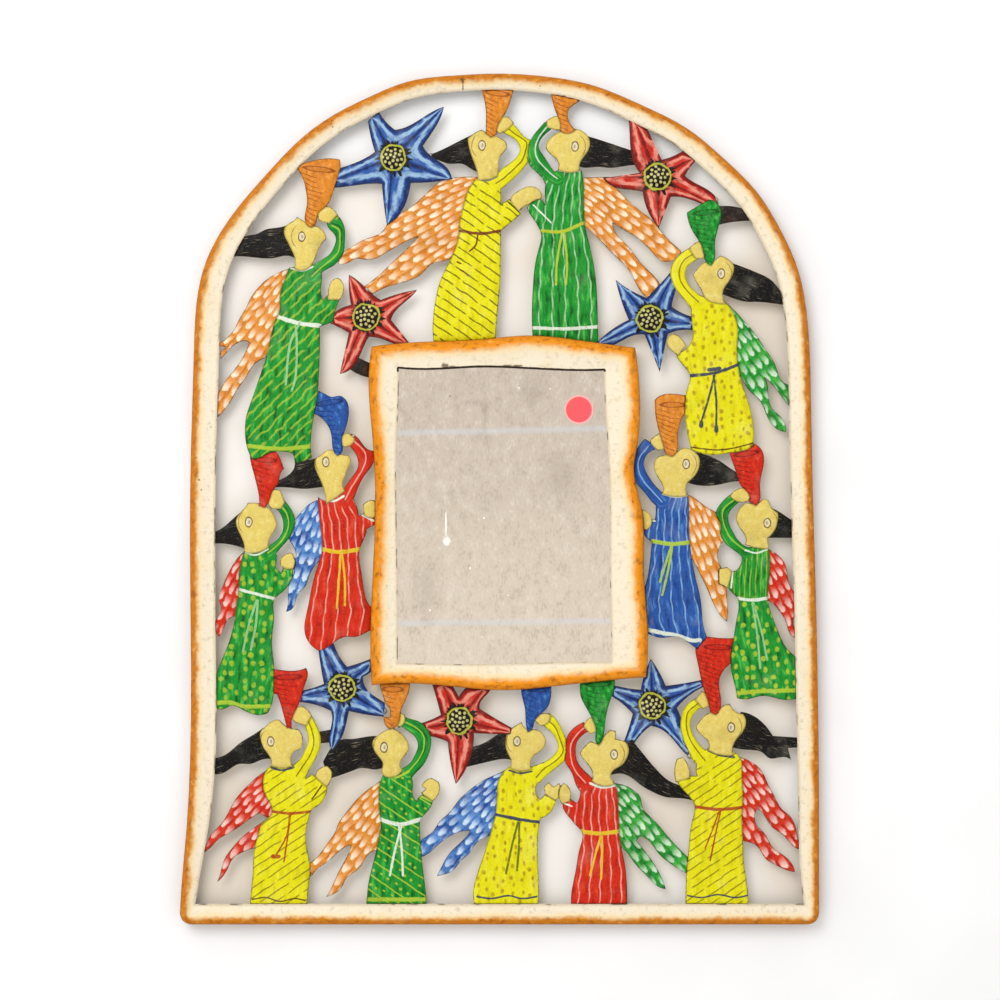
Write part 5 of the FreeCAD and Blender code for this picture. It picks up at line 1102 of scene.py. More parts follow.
# Each angel's look, in the photograph's pixels: the robe's colour, pattern and second colour; the colour of
# the wings and horn; the eye; the middle lines of the robe and the horn, with half-widths; the runs of the
# wing and the hair; the raised arm's ink and line; and each ink's strokes, by width and points. Strokes of
# the first ink stand a little proud
ANGELS = {
    "angel_top_left": {
        "robe": ("yellow", "long lines down", "dark olive"),
        "wings": "orange",
        "eye": (482, 146),
        "axis": (
            (487.5, 178, 9.5), (483, 205, 20), (480, 232, 21), (475, 263, 26), (467, 304, 32),
            (465, 349, 31),
        ),
        "wing": ((480, 200), (350, 275)),
        "hair": ((478, 153), (426, 156)),
        "horn": ((498, 87, 18), (491, 136, 6)),
        "arm": ("brown", (
            (505, 127), (516, 135), (526, 142), (526, 150), (521, 162), (509, 174), (496, 184),
        )),
        "inks": {
            "maroon": (
                (2.9, ((459, 231), (480, 234), (502, 231))), (1.7, ((478, 233), (476, 245), (469, 252))),
                (1.7, ((457, 262), (461, 264))), (1.7, ((460, 270), (464, 272))),
                (1.7, ((465, 273), (468, 276))),
            ),
            "grey": ((1.7, ((479, 179), (488, 181), (497, 177))),),
            "black": ((1.5, ((508, 202), (519, 212))), (1.5, ((502, 131), (512, 121)))),
        },
    },
    "angel_top_right": {
        "robe": ("green", "wavy stripes", "pale"),
        "wings": "orange",
        "eye": (575, 147),
        "axis": (
            (570, 170, 12), (564, 199, 20), (562, 226, 23), (564, 252, 27), (565, 288, 32), (566, 350, 33),
        ),
        "wing": ((580, 200), (672, 280)),
        "hair": ((583, 152), (642, 158)),
        "horn": ((567, 87, 16), (566, 132, 7)),
        "arm": ("white", ((549, 125), (540, 136), (535, 147), (537, 158), (546, 170), (557, 179))),
        "inks": {
            "yellow green": (
                (3.2, ((541, 231), (562, 232), (584, 223))), (2.2, ((562, 232), (557, 262), (556, 285))),
                (2.2, ((564, 232), (567, 262), (566, 285))),
            ),
            "white": (
                (2.2, ((558, 170), (570, 172), (582, 170))), (3.2, ((533, 328), (565, 329), (598, 327))),
                (1.6, ((533, 205), (551, 223))),
            ),
            "lime": ((2.2, ((534, 344), (566, 345), (599, 344))),),
        },
    },
    "angel_upper_left": {
        "robe": ("green", "strokes up", "lime"),
        "wings": "orange",
        "eye": (302, 237),
        "axis": (
            (302, 268, 13), (302, 297, 22), (298, 322, 23), (290, 373, 29), (279, 431, 34), (280, 455, 31),
        ),
        "wing": ((292, 285), (218, 390)),
        "hair": ((295, 243), (231, 250)),
        "horn": ((320, 163, 22), (312, 226, 7)),
        "arm": ("lime", (
            (332, 226), (339, 230), (340, 240), (339, 250), (333, 259), (321, 268), (312, 277),
        )),
        "inks": {
            "white": (
                (4, ((275, 316), (297, 323), (320, 326))), (1.7, ((290, 268), (302, 271), (313, 267))),
                (1.7, ((328, 296), (341, 300))),
            ),
            "faint": (
                (2.2, ((300, 323), (290, 345), (286, 385))),
                (2.2, ((296, 327), (297, 345), (296, 375), (292, 391))),
            ),
            "lime": ((4, ((248, 446), (280, 449), (313, 446))),),
        },
    },
    "angel_upper_right": {
        "robe": ("yellow", "dabs", "ochre"),
        "wings": "green",
        "eye": (721, 274),
        "axis": (
            (712, 298, 10), (714, 323, 22), (712, 347, 25), (716, 390, 28), (719, 424, 34), (720, 451, 29),
        ),
        "wing": ((726, 318), (788, 420)),
        "hair": ((728, 280), (796, 304)),
        "horn": ((705, 206, 18), (711, 262, 7)),
        "arm": ("brown", ((695, 253), (684, 260), (679, 270), (680, 281), (688, 292), (699, 303))),
        "inks": {
            "dark blue": (
                (3.2, ((690, 376), (715, 373), (738, 365))), (2.2, ((715, 373), (708, 400), (701, 422))),
                (2.2, ((713, 373), (716, 400), (716, 427))), (4, ((701, 422), (701, 426))),
                (4, ((716, 427), (716, 431))), (4.5, ((709, 370), (719, 369))),
            ),
            "brown": (
                (1.5, ((690, 447), (704, 449), (718, 450), (734, 448), (753, 443))),
                (1.5, ((703, 296), (714, 301), (725, 303))), (1.5, ((677, 352), (688, 346))),
            ),
        },
    },
    "angel_middle_left_inner": {
        "robe": ("red", "stripes", "pink"),
        "wings": "blue",
        "eye": (326, 462),
        "axis": (
            (332, 498, 14), (339, 520, 20), (341, 549, 19), (338, 590, 27), (338, 610, 32), (335, 634, 30),
        ),
        "wing": ((324, 512), (290, 605)),
        "hair": ((325, 472), (272, 486)),
        "horn": ((328, 396, 20), (338, 454, 7)),
        "arm": ("pink", (
            (353, 440), (362, 448), (366, 456), (364, 466), (357, 479), (350, 490), (345, 500),
        )),
        "inks": {
            "sun": (
                (4, ((321, 549), (340, 552), (361, 549))), (2.2, ((341, 552), (339, 580), (337, 608))),
                (2.2, ((342, 552), (345, 580), (345, 605))),
            ),
            "white": (
                (2.2, ((322, 499), (334, 501), (344, 496))), (2.2, ((361, 514), (374, 521))),
                (1.7, ((345, 444), (355, 434))),
            ),
        },
    },
    "angel_middle_right_inner": {
        "robe": ("blue", "stripes", "sky"),
        "wings": "orange",
        "eye": (686, 464),
        "axis": (
            (676, 494, 13), (672, 512, 17), (671, 562, 21), (671, 601, 30), (673, 618, 32), (678, 640, 27),
        ),
        "wing": ((686, 510), (724, 610)),
        "hair": ((690, 470), (745, 479)),
        "horn": ((673, 398, 18), (672, 454, 7)),
        "arm": ("sky", ((648, 446), (640, 457), (638, 470), (644, 482), (653, 492), (662, 502))),
        "inks": {
            "lime": (
                (4, ((653, 541), (671, 544), (692, 542))), (2.2, ((671, 546), (665, 565), (660, 582))),
                (2.2, ((672, 546), (668, 570), (662, 595))),
            ),
            "white": (
                (4, ((645, 629), (663, 633), (676, 635), (690, 640), (700, 640))),
                (2.2, ((663, 494), (676, 497), (688, 495))), (1.7, ((646, 519), (655, 521))),
            ),
        },
    },
    "angel_middle_left_outer": {
        "robe": ("green", "dots", "lime"),
        "wings": "red",
        "eye": (249, 522),
        "axis": (
            (256, 550, 13), (259, 577, 20), (257, 594, 20), (250, 645, 23), (245, 677, 29), (243, 706, 29),
        ),
        "wing": ((246, 566), (218, 632)),
        "hair": ((243, 530), (206, 539)),
        "horn": ((266, 453, 16), (262, 506, 6)),
        "arm": ("lime", ((278, 503), (286, 512), (289, 523), (286, 534), (280, 543), (268, 553))),
        "inks": {
            "white": (
                (3, ((238, 589), (257, 594), (276, 599))), (1.7, ((245, 552), (256, 555), (268, 549))),
                (1.7, ((281, 564), (292, 568))),
            ),
            "faint": (
                (2.2, ((257, 600), (249, 625), (243, 652))), (2.2, ((258, 600), (256, 625), (251, 650))),
            ),
            "lime": ((4, ((216, 703), (230, 702), (244, 706), (270, 706))),),
        },
    },
    "angel_middle_right_outer": {
        "robe": ("green", "dots and lines", "lime"),
        "wings": "red",
        "eye": (767, 523),
        "axis": (
            (755, 549, 14), (753, 577, 16), (752, 599, 16), (757, 636, 23), (768, 682, 35), (770, 697, 33),
        ),
        "wing": ((764, 562), (798, 632)),
        "hair": ((770, 524), (804, 531)),
        "horn": ((745, 447, 18), (754, 503, 6)),
        "arm": ("lime", ((738, 497), (725, 507), (722, 516), (726, 530), (733, 541), (746, 551))),
        "inks": {
            "white": (
                (3, ((736, 598), (752, 600), (768, 598))), (1.7, ((745, 550), (756, 553), (768, 549))),
                (1.7, ((733, 568), (731, 588))),
            ),
            "faint": (
                (1.9, ((752, 602), (757, 635), (760, 668))), (1.9, ((753, 602), (761, 630), (767, 660))),
            ),
            "lime": ((4, ((736, 693), (762, 691), (803, 690))),),
        },
    },
    "angel_bottom_1": {
        "robe": ("yellow", "thin lines up", "moss"),
        "wings": "red",
        "eye": (271, 741),
        "axis": (
            (282, 765, 12), (290, 784, 24), (292, 808, 20), (281, 846, 26), (281, 870, 28), (280, 893, 29),
        ),
        "wing": ((270, 790), (208, 862)),
        "hair": ((266, 745), (210, 765)),
        "horn": ((288, 670, 20), (290, 727, 7)),
        "arm": ("brown", ((307, 718), (312, 730), (314, 742), (311, 754), (304, 764), (296, 776))),
        "inks": {
            "dark blue": ((2.2, ((271, 767), (282, 770), (294, 767))),),
            "red-brown": (
                (2.8, ((272, 811), (291, 813), (312, 811))), (1.6, ((290, 812), (287, 835), (276, 855))),
                (1.6, ((291, 812), (288, 835), (284, 862))), (4, ((273, 856), (279, 856))),
            ),
            "brown": (
                (1.5, ((305, 725), (312, 715))), (1.5, ((313, 774), (327, 785))),
                (1.5, ((252, 899), (266, 897), (280, 901), (294, 898), (306, 900))),
                (1.6, ((312, 799), (322, 785))),
            ),
        },
    },
    "angel_bottom_2": {
        "robe": ("green", "lines and dots", "lime"),
        "wings": "orange",
        "eye": (384, 747),
        "axis": (
            (396, 784, 16), (398, 797, 18), (401, 820, 19), (400, 838, 20), (397, 880, 28), (396, 900, 30),
        ),
        "wing": ((386, 795), (318, 882)),
        "hair": ((380, 750), (326, 764)),
        "horn": ((393, 682, 15), (392, 727, 6)),
        "arm": ("lime", ((401, 720), (414, 726), (423, 735), (424, 747), (418, 760), (409, 771))),
        "inks": {
            "white": (
                (4, ((380, 819), (400, 824), (421, 819))), (2.2, ((402, 824), (395, 850), (390, 875))),
                (2.2, ((399, 824), (402, 850), (403, 875))),
            ),
            "lime": (
                (2.2, ((385, 774), (396, 777), (409, 771))), (4, ((367, 899), (396, 899), (426, 899))),
                (2.2, ((419, 795), (432, 801))),
            ),
        },
    },
    "angel_bottom_3": {
        "robe": ("yellow", "dabs", "ochre"),
        "wings": "blue",
        "eye": (517, 741),
        "axis": (
            (521, 766, 12), (519, 784, 20), (518, 812, 22), (512, 845, 26), (507, 885, 32), (507, 900, 31),
        ),
        "wing": ((507, 785), (428, 864)),
        "hair": ((513, 745), (465, 758)),
        "horn": ((537, 682, 15), (530, 730, 6)),
        "arm": ("brown", (
            (547, 719), (555, 727), (560, 739), (563, 751), (556, 760), (545, 768), (536, 777),
        )),
        "inks": {
            "dark blue": (
                (3.2, ((495, 814), (520, 819), (541, 822))), (1.8, ((509, 770), (520, 773), (532, 771))),
                (1.8, ((477, 896), (492, 898), (508, 895), (522, 898), (537, 896))),
            ),
            "olive": (
                (2.2, ((518, 822), (512, 845), (506, 873))), (2.2, ((519, 822), (519, 845), (517, 870))),
            ),
            "brown": ((1.5, ((545, 723), (549, 714))), (1.5, ((545, 794), (556, 800)))),
        },
    },
    "angel_bottom_4": {
        "robe": ("red", "stripes", "pink"),
        "wings": "green",
        "eye": (614, 754),
        "axis": (
            (602, 780, 10), (599, 796, 18), (599, 820, 20), (601, 848, 21), (601, 870, 25), (600, 890, 27),
        ),
        "wing": ((612, 795), (680, 878)),
        "hair": ((625, 762), (692, 795)),
        "horn": ((598, 677, 17), (600, 743, 7)),
        "arm": ("pink", ((586, 726), (576, 735), (571, 745), (571, 757), (575, 770), (586, 783))),
        "inks": {
            "sun": (
                (4, ((580, 831), (600, 833), (620, 831))), (2.2, ((601, 835), (595, 855), (590, 875))),
                (2.2, ((602, 835), (602, 857), (601, 878))),
            ),
            "white": ((2.4, ((590, 783), (602, 787), (615, 785))), (1.7, ((564, 803), (572, 806)))),
        },
    },
    "angel_bottom_5": {
        "robe": ("yellow", "thin lines up", "moss"),
        "wings": "red",
        "eye": (731, 727),
        "axis": (
            (720, 750, 12), (720, 776, 22), (718, 803, 24), (716, 846, 27), (716, 868, 29), (716, 890, 31),
        ),
        "wing": ((738, 775), (800, 862)),
        "hair": ((742, 730), (800, 748)),
        "horn": ((718, 640, 20), (715, 713, 7)),
        "arm": ("brown", ((698, 703), (688, 712), (686, 722), (688, 734), (694, 746), (705, 760))),
        "inks": {
            "dark blue": (
                (2.2, ((708, 750), (720, 755), (734, 757))),
                (1.6, ((687, 895), (702, 897), (718, 894), (734, 897), (748, 895))),
            ),
            "red-brown": (
                (3.2, ((693, 806), (718, 809), (742, 807))), (1.6, ((720, 808), (712, 830), (705, 848))),
                (1.6, ((721, 808), (715, 835), (710, 860))),
            ),
            "brown": ((1.5, ((676, 779), (690, 778))),),
        },
    },
}

skin = skin_finish()
hair = hair_finish()
wings = {colour: wing_finish(colour) for colour in ("orange", "green", "red", "blue")}
horns = {colour: horn_finish(colour) for colour in ("orange", "green", "red", "blue")}
tin_back = bare_tin()
snipped = cut_edge()


def run_lay(points, line):
    """Offset across and length along a straight run of two pixels, in millimetres."""
    _, side, run, _, _ = along_line(points, spots([pixel[:2] for pixel in line]))
    return side, run


def wing_lay(points, line):
    """Places across and along feathers that spread as if from a point well behind the wing's root."""
    root, tip = spots(line)
    length = np.hypot(*(tip - root))
    main = math.atan2(*(tip - root)[::-1])
    rel = points - root + (tip - root) * WING_SETBACK_SHARE
    turn = np.arctan2(rel[:, 1], rel[:, 0]) - main
    turn = (turn + math.pi) % (2 * math.pi) - math.pi
    return turn * length * WING_SPREAD_SHARE, np.hypot(*rel.T)


def axis_lay(points, axis):
    """Share of the half-width across a robe or horn, length down it, and the half-width there."""
    line = spots([row[:2] for row in axis])
    half_widths = np.array([row[2] for row in axis]) * pixel_mm
    _, side, run, segment, share = along_line(points, line)
    half = half_widths[segment] * (1 - share) + half_widths[segment + 1] * share
    return side / half, run, half


def eye_places(points, pixel, hair_line):
    """Places ahead of the eye's middle and above it; ahead is away from the hair."""
    middle = spot(*pixel)
    facing = math.copysign(1, hair_line[0][0] - hair_line[1][0])
    return (points[:, 0] - middle[0]) * facing, points[:, 1] - middle[1]


def swelling(sheet, region):
    """How far each point of an angel bulges, by the regions that it touches."""
    swell = np.zeros(len(sheet.points))
    for index, kind in enumerate(REGIONS):
        touched = np.zeros(len(swell), bool)
        touched[np.unique(sheet.triangles[region == index])] = True
        rise = pillow(sheet.any_border, REACH_MM[kind]) * SWELL_MM[kind]
        swell = np.where(touched, np.maximum(swell, rise), swell)
    return swell


def angel(name, look, seed):
    """One angel: a pressed sheet with a finish for each region."""
    sheet = Sheet(name, ANGEL_PITCH)
    points = sheet.points
    level = np.round((sheet.face_depth - FIRST_LEVEL) / LEVEL_STEP)
    region = np.clip(level, 0, len(REGIONS) - 1).astype(int)
    wing_u, wing_v = wing_lay(points, look["wing"])
    hair_u, hair_v = run_lay(points, look["hair"])
    robe_u, robe_v, robe_half = axis_lay(points, look["axis"])
    horn_u, horn_v, horn_half = axis_lay(points, look["horn"])
    none = np.zeros(len(points))
    lays = {
        "wing": (wing_u, wing_v, none),
        "hair": (hair_u, hair_v, none),
        "robe": (robe_u, robe_v, robe_half),
        "horn": (horn_u, horn_v, horn_half),
    }
    inks = [stroke_ratios(points, strokes) for strokes in look["inks"].values()]
    while len(inks) < 3:
        inks.append((np.full((1, len(points)), FAR_MM), np.ones((1, len(points)), bool)))
    arm_ink, arm_line = look["arm"]
    arm, past_arm = signed_gap(points, rounded(spots(arm_line)))
    is_wing, is_robe = (
        sheet.spread((region == REGIONS.index(kind)).astype(float)) > WHOLE_SHARE for kind in ("wing", "robe")
    )
    feather = np.cos(wing_u / DAB_ROW_MM * 2 * math.pi) * FEATHER_MM * np.clip(sheet.any_border / 2, 0, 1)
    fold = np.cos(robe_u * math.pi * 2.5) * FOLD_MM * np.clip(sheet.any_border / 3, 0, 1)
    belt = BELT_MM * np.clip((1.2 - np.abs(inks[0][0]).min(axis=0)) / 0.6, 0, 1)
    relief = swelling(sheet, region) + np.where(is_wing, feather, 0) + np.where(is_robe, fold, 0)
    relief += np.where(is_robe, belt, 0)
    base = FIRST_LEVEL + (sheet.depth - FIRST_LEVEL) * LEVEL_SHARE
    depth = sheet.smoothed(base + relief, 1) + lumps(points, 9.0, seed) * DENT_MM
    depth = np.maximum(depth, BACK_PLANE + SHEET_THICK)
    base_colour, pattern, second = look["robe"]
    robe = robe_finish(f"robe_{name}", base_colour, pattern, second, list(look["inks"]), arm_ink)
    finishes = [wings[look["wings"]], hair, robe, skin, skin, horns[look["wings"]], tin_back, snipped]
    by_kind = np.stack([np.column_stack(lays.get(kind, (none, none, none))) for kind in REGIONS])
    corner_vectors = {
        "lay": by_kind[np.repeat(region, 3), sheet.triangles.ravel()],
        "inks": np.column_stack([nearest_stroke(*drawn, sheet.triangles) for drawn in inks]),
        "arm": nearest_stroke(arm[None], past_arm[None], sheet.triangles)[:, None],
    }
    ahead, up = eye_places(points, look["eye"], look["hair"])
    vectors = {
        "trim": np.column_stack((sheet.edge, sheet.border, none)),
        "eye": np.column_stack((ahead, up, none)),
    }
    sheet.build(depth, region, finishes, corner_vectors, vectors)


for seed, (name, look) in enumerate(ANGELS.items()):
    angel(name, look, seed)

# The star flowers: each one's colour, then its middle and the tips of its arms in pixels
STARS = {
    "star_1": ("blue", (393, 158), ((372, 118), (444, 107), (452, 180), (387, 225), (331, 182))),
    "star_2": ("red", (657, 177), ((630, 109), (703, 154), (719, 208), (659, 228), (604, 178))),
    "star_3": ("red", (366, 317), ((349, 275), (417, 290), (414, 349), (341, 374), (327, 319))),
    "star_4": ("blue", (650, 319), ((616, 280), (673, 275), (697, 325), (660, 372), (594, 346))),
    "star_5": ("blue", (342, 688), ((320, 642), (380, 656), (390, 717), (332, 750), (294, 697))),
    "star_6": ("red", (459, 720), ((440, 679), (490, 681), (511, 732), (456, 784), (422, 729))),
    "star_7": ("blue", (652, 706), ((651, 659), (704, 683), (698, 762), (627, 746), (607, 688))),
}
STAR_PITCH = 0.7
STAR_FOLD_MM = 1.3
STAR_DENT_MM = 0.2
DOT_COUNT = 19
DOT_SPREAD_MM = 1.62
DOT_RADIUS_MM, DOT_RISE_MM = 1.0, 0.35
NO_BORDER_MM = 9
GOLDEN_TURN = math.radians(137.508)
star_finishes = {
    "blue": star_finish("blue", paint(164, 198, 222), paint(14, 26, 74)),
    "red": star_finish("red", paint(240, 158, 138), paint(98, 10, 8)),
}


def star(name, colour, middle, tips, seed):
    """One star flower: arms folded along their ridges and a domed, dotted eye."""
    sheet = Sheet(name, STAR_PITCH)
    points = sheet.points
    centre = spot(*middle)
    ridge = np.full(len(points), np.inf)
    for tip in tips:
        gap = along_line(points, np.array((centre, centre + (spot(*tip) - centre) * 1.2)))[0]
        ridge = np.minimum(ridge, gap)
    rel = points - centre
    share = ridge / (ridge + sheet.edge + TINY)
    dots = np.full(len(points), FAR_MM)
    for index in range(DOT_COUNT):
        away = DOT_SPREAD_MM * math.sqrt(index + 0.4)
        angle = GOLDEN_TURN * index + seed
        place = centre + np.array((math.cos(angle), math.sin(angle))) * away
        dots = np.minimum(dots, np.hypot(*(points - place).T) - DOT_RADIUS_MM)
    fold = STAR_FOLD_MM * (1 - share) * np.clip(sheet.edge / 2.5, 0, 1)
    relief = fold + DOT_RISE_MM * np.clip(-dots / 0.5, 0, 1)
    depth = sheet.smoothed(sheet.depth + relief - 0.4, 1) + lumps(points, 7.0, seed + 20) * STAR_DENT_MM
    depth = np.maximum(depth, BACK_PLANE + SHEET_THICK)
    none = np.zeros(len(points))
    vectors = {
        "trim": np.column_stack((sheet.edge, none + NO_BORDER_MM, none)),
        "inks": np.column_stack((dots, none, none)),
        "aim": np.column_stack((rel, none)),
    }
    lay = np.column_stack((share, none, none))[sheet.triangles.ravel()]
    face_finish = np.zeros(len(sheet.triangles), int)
    finishes = [star_finishes[colour], tin_back, snipped]
    sheet.build(depth, face_finish, finishes, {"lay": lay}, vectors)


for seed, (name, (colour, middle, tips)) in enumerate(STARS.items()):
    star(name, colour, middle, tips, seed)


# The tie tabs between figures
TAB_REACH_MM, TAB_SWELL_MM = 2.5, 0.5


def tie_tabs():
    """The tie tabs, plain pressed strips."""
    sheet = Sheet("tie_tabs", STAR_PITCH)
    none = np.zeros(len(sheet.points))
    depth = sheet.depth + pillow(sheet.edge, TAB_REACH_MM) * TAB_SWELL_MM
    vectors = {"trim": np.column_stack((sheet.edge, none + NO_BORDER_MM, none))}
    face_finish = np.zeros(len(sheet.triangles), int)
    sheet.build(depth, face_finish, [tab_finish(), tin_back, snipped], {}, vectors)


tie_tabs()


# Mouldings: the rim and the mirror frame, swept between the CAD node's own outer and inner edges
def loops(net, keep):
    """Closed plan loops between the faces that keep() takes and the others, largest first."""
    following = {}
    for edge in net.edges:
        kept = [face for face in edge.link_faces if keep(face)]
        if len(kept) != 1:
            continue
        for loop in edge.link_loops:
            if loop.face is kept[0]:
                following[loop.vert] = loop.link_loop_next.vert
    found = []
    while following:
        start, vert = following.popitem()
        chain = [start]
        while vert is not start and vert in following:
            chain.append(vert)
            vert = following.pop(vert)
        found.append(np.array([(item.co.x, item.co.z) for item in chain]) / MM)
    found.sort(key=lambda chain: abs(shoelace(chain)), reverse=True)
    return found


def shoelace(chain):
    """Signed area of a closed loop."""
    x, z = chain.T
    return float(np.sum(x * np.roll(z, -1) - np.roll(x, -1) * z)) / 2


def resampled(chain, pitch):
    """A closed loop with its long segments split."""
    points = []
    for a, b in zip(chain, np.roll(chain, -1, axis=0)):
        points += divided(a, b, pitch)[:-1]
    return np.array(points)


def distance_to_loop(points, chain):
    """Distance from each point to a closed loop, and the nearest point of it."""
    best = np.full(len(points), np.inf)
    nearest = np.zeros_like(points)
    for a, b in zip(chain, np.roll(chain, -1, axis=0)):
        step = b - a
        length = max(float(step @ step), TINY ** 2)
        share = np.clip(((points - a) @ step) / length, 0, 1)
        foot = a + np.outer(share, step)
        gap = np.hypot(*(points - foot).T)
        nearer = gap < best
        best[nearer] = gap[nearer]
        nearest[nearer] = foot[nearer]
    return best, nearest


MOULDING_PITCH = 1.5
TIN_THICK = 0.8
WALL_FACING = 0.9
LEVEL_REACH = 1e-4
MOULDING_SHARP_DEGREES = 50
ROW_SHARES = (0.0, 0.012, 0.04, 0.09, 0.15, 0.22, 0.3, 0.38, 0.46, 0.54, 0.62, 0.7, 0.78, 0.86, 0.93, 1.0)


def backward_loops(net, level):
    """Plan loops round the faces that look at the wall from one level."""
    def level_face(face):
        return face.normal.y > WALL_FACING and abs(face.calc_center_median().y - level) < LEVEL_REACH

    return loops(net, level_face)


def moulding(name, finish, edge_depth, crest_inset, crest_depth, lip_depth, seat_depth, lip_seat, flange):
    """A swept moulding with its tin's thickness: outer wall, rounded shoulder, slope, lip and inside.

    Gives the loop half way between its outer and inner edges.
    """
    net = welded(name)
    rear_level = max(vert.co.y for vert in net.verts)
    rear = backward_loops(net, rear_level)
    seats = backward_loops(net, -seat_depth * MM)
    net.free()
    outer = resampled(rear[0], MOULDING_PITCH)
    inner_loop = seats[-1]
    width, inner = distance_to_loop(outer, inner_loop)
    rear_depth = -rear_level / MM
    thick = TIN_THICK
    rows = []
    depths = []

    def add_row(insets, depth):
        share = np.minimum(insets / width, 1.0)
        rows.append(outer + (inner - outer) * share[:, None])
        depths.append(depth)

    add_row(np.zeros(len(outer)), rear_depth)
    add_row(np.zeros(len(outer)), (rear_depth + edge_depth) / 2)
    for share in ROW_SHARES:
        add_row(width * share, None)
    add_row(width, seat_depth)
    add_row(width - max(lip_seat, thick), seat_depth)
    inside_rows = len(rows)
    for share in ROW_SHARES[-2:3:-2]:
        add_row(np.clip(width * share, thick, width - thick), None)
    add_row(np.full(len(outer), thick), rear_depth + (thick if flange else 0.0))
    if flange:
        add_row(np.full(len(outer), flange), rear_depth + thick)
        add_row(np.full(len(outer), flange), rear_depth)
    verts = []
    lay = []
    lengths = np.concatenate(([0], np.cumsum(np.hypot(*np.diff(outer, axis=0).T))))
    for index, (row, depth) in enumerate(zip(rows, depths)):
        out, _ = distance_to_loop(row, rear[0])
        inward, _ = distance_to_loop(row, inner_loop)
        if depth is None:
            rise = np.clip(out / crest_inset, 0, 1)
            shoulder = edge_depth + (crest_depth - edge_depth) * np.sqrt(1 - (1 - rise) ** 2)
            fall = np.clip((out - crest_inset) / np.maximum(out - crest_inset + inward, TINY), 0, 1)
            slope = crest_depth + (lip_depth - crest_depth) * fall ** 0.85
            depth = np.where(out < crest_inset, shoulder, slope)
            if index >= inside_rows:
                depth = depth - thick
            dents = np.abs(lumps(row, 16.0, 41)) * 0.5 + np.abs(lumps(row, 5.0, 43)) * 0.15
            depth = depth - dents * np.clip(np.minimum(out, inward) / 3, 0, 1)
        else:
            depth = np.full(len(row), depth)
        verts.append(np.column_stack((row[:, 0], -depth, row[:, 1])) * MM)
        lay.append(np.column_stack((out, lengths, inward)))
    count = len(outer)
    turned = shoelace(outer) > 0
    faces = []
    for row in range(len(rows)):
        below = (row + 1) % len(rows)
        for index in range(count):
            after = (index + 1) % count
            quad = (row * count + index, row * count + after, below * count + after, below * count + index)
            faces.append(quad if turned else quad[::-1])
    mesh = bpy.data.meshes.new(name)
    mesh.from_pydata(np.vstack(verts).tolist(), [], faces)
    add_vectors(mesh, "lay", "POINT", np.vstack(lay))
    mesh.materials.append(finish)
    mesh.materials.append(tin_back)
    inner_faces = np.zeros(len(faces), np.int32)
    inner_faces[inside_rows * count:] = 1
    mesh.polygons.foreach_set("material_index", inner_faces)
    tidy = bmesh.new()
    tidy.from_mesh(mesh)
    bmesh.ops.remove_doubles(tidy, verts=tidy.verts, dist=WELD_REACH)
    bmesh.ops.dissolve_degenerate(tidy, edges=tidy.edges, dist=TINY)
    bmesh.ops.recalc_face_normals(tidy, faces=tidy.faces)
    tidy.to_mesh(mesh)
    tidy.free()
    smooth(mesh, MOULDING_SHARP_DEGREES)
    add_piece(f"{name}_moulding", mesh, name)
    return (outer + inner) / 2 if turned else ((outer + inner) / 2)[::-1]


WINDOW_TOP_PIXEL = 370
rim_enamel = cream_finish("rim_enamel", paint(204, 124, 26), 4.8, RIM_STAINS)
# the painted shadow line runs whole along the top of the window
shadow_line_level = float(spot(0, WINDOW_TOP_PIXEL)[1])
frame_enamel = cream_finish("frame_enamel", paint(242, 150, 22), 6.6, FRAME_STAINS, shadow_line_level)
rim_middle = moulding(
    "outer_rim", rim_enamel, edge_depth=9.6, crest_inset=4.6, crest_depth=14.0, lip_depth=10.8,
    seat_depth=8.0, lip_seat=0.8, flange=5.2,
)
moulding(
    "mirror_frame", frame_enamel, edge_depth=12.6, crest_inset=4.8, crest_depth=16.4, lip_depth=12.8,
    seat_depth=12.0, lip_seat=1.0, flange=0.0,
)


# Solder: an irregular blob for each bead of the CAD node
BLOB_RINGS, BLOB_STEPS = 6, 14
BLOB_TOP, BLOB_FOOT = 6.85, 9.0


def solder_blobs():
    """All the blobs, as one mesh."""
    net = welded("solder_beads")
    seen = set()
    blobs = bmesh.new()
    chance = random.Random(7)
    for first in net.verts:
        if first in seen:
            continue
        seen.add(first)
        island = [first]
        for vert in island:
            for edge in vert.link_edges:
                other = edge.other_vert(vert)
                if other not in seen:
                    seen.add(other)
                    island.append(other)
        xs = [vert.co.x / MM for vert in island]
        zs = [vert.co.z / MM for vert in island]
        middle = ((min(xs) + max(xs)) / 2, (min(zs) + max(zs)) / 2)
        radius = (max(xs) - min(xs)) / 2 * chance.uniform(0.6, 0.75)
        add_blob(blobs, middle, radius, chance.uniform(0, 50), chance.uniform(0.75, 1.0))
    net.free()
    mesh = bpy.data.meshes.new("solder_blobs")
    bmesh.ops.recalc_face_normals(blobs, faces=blobs.faces)
    blobs.to_mesh(mesh)
    blobs.free()
    mesh.shade_smooth()
    mesh.materials.append(solder_finish())
    add_piece("solder_blobs", mesh, "solder_beads")


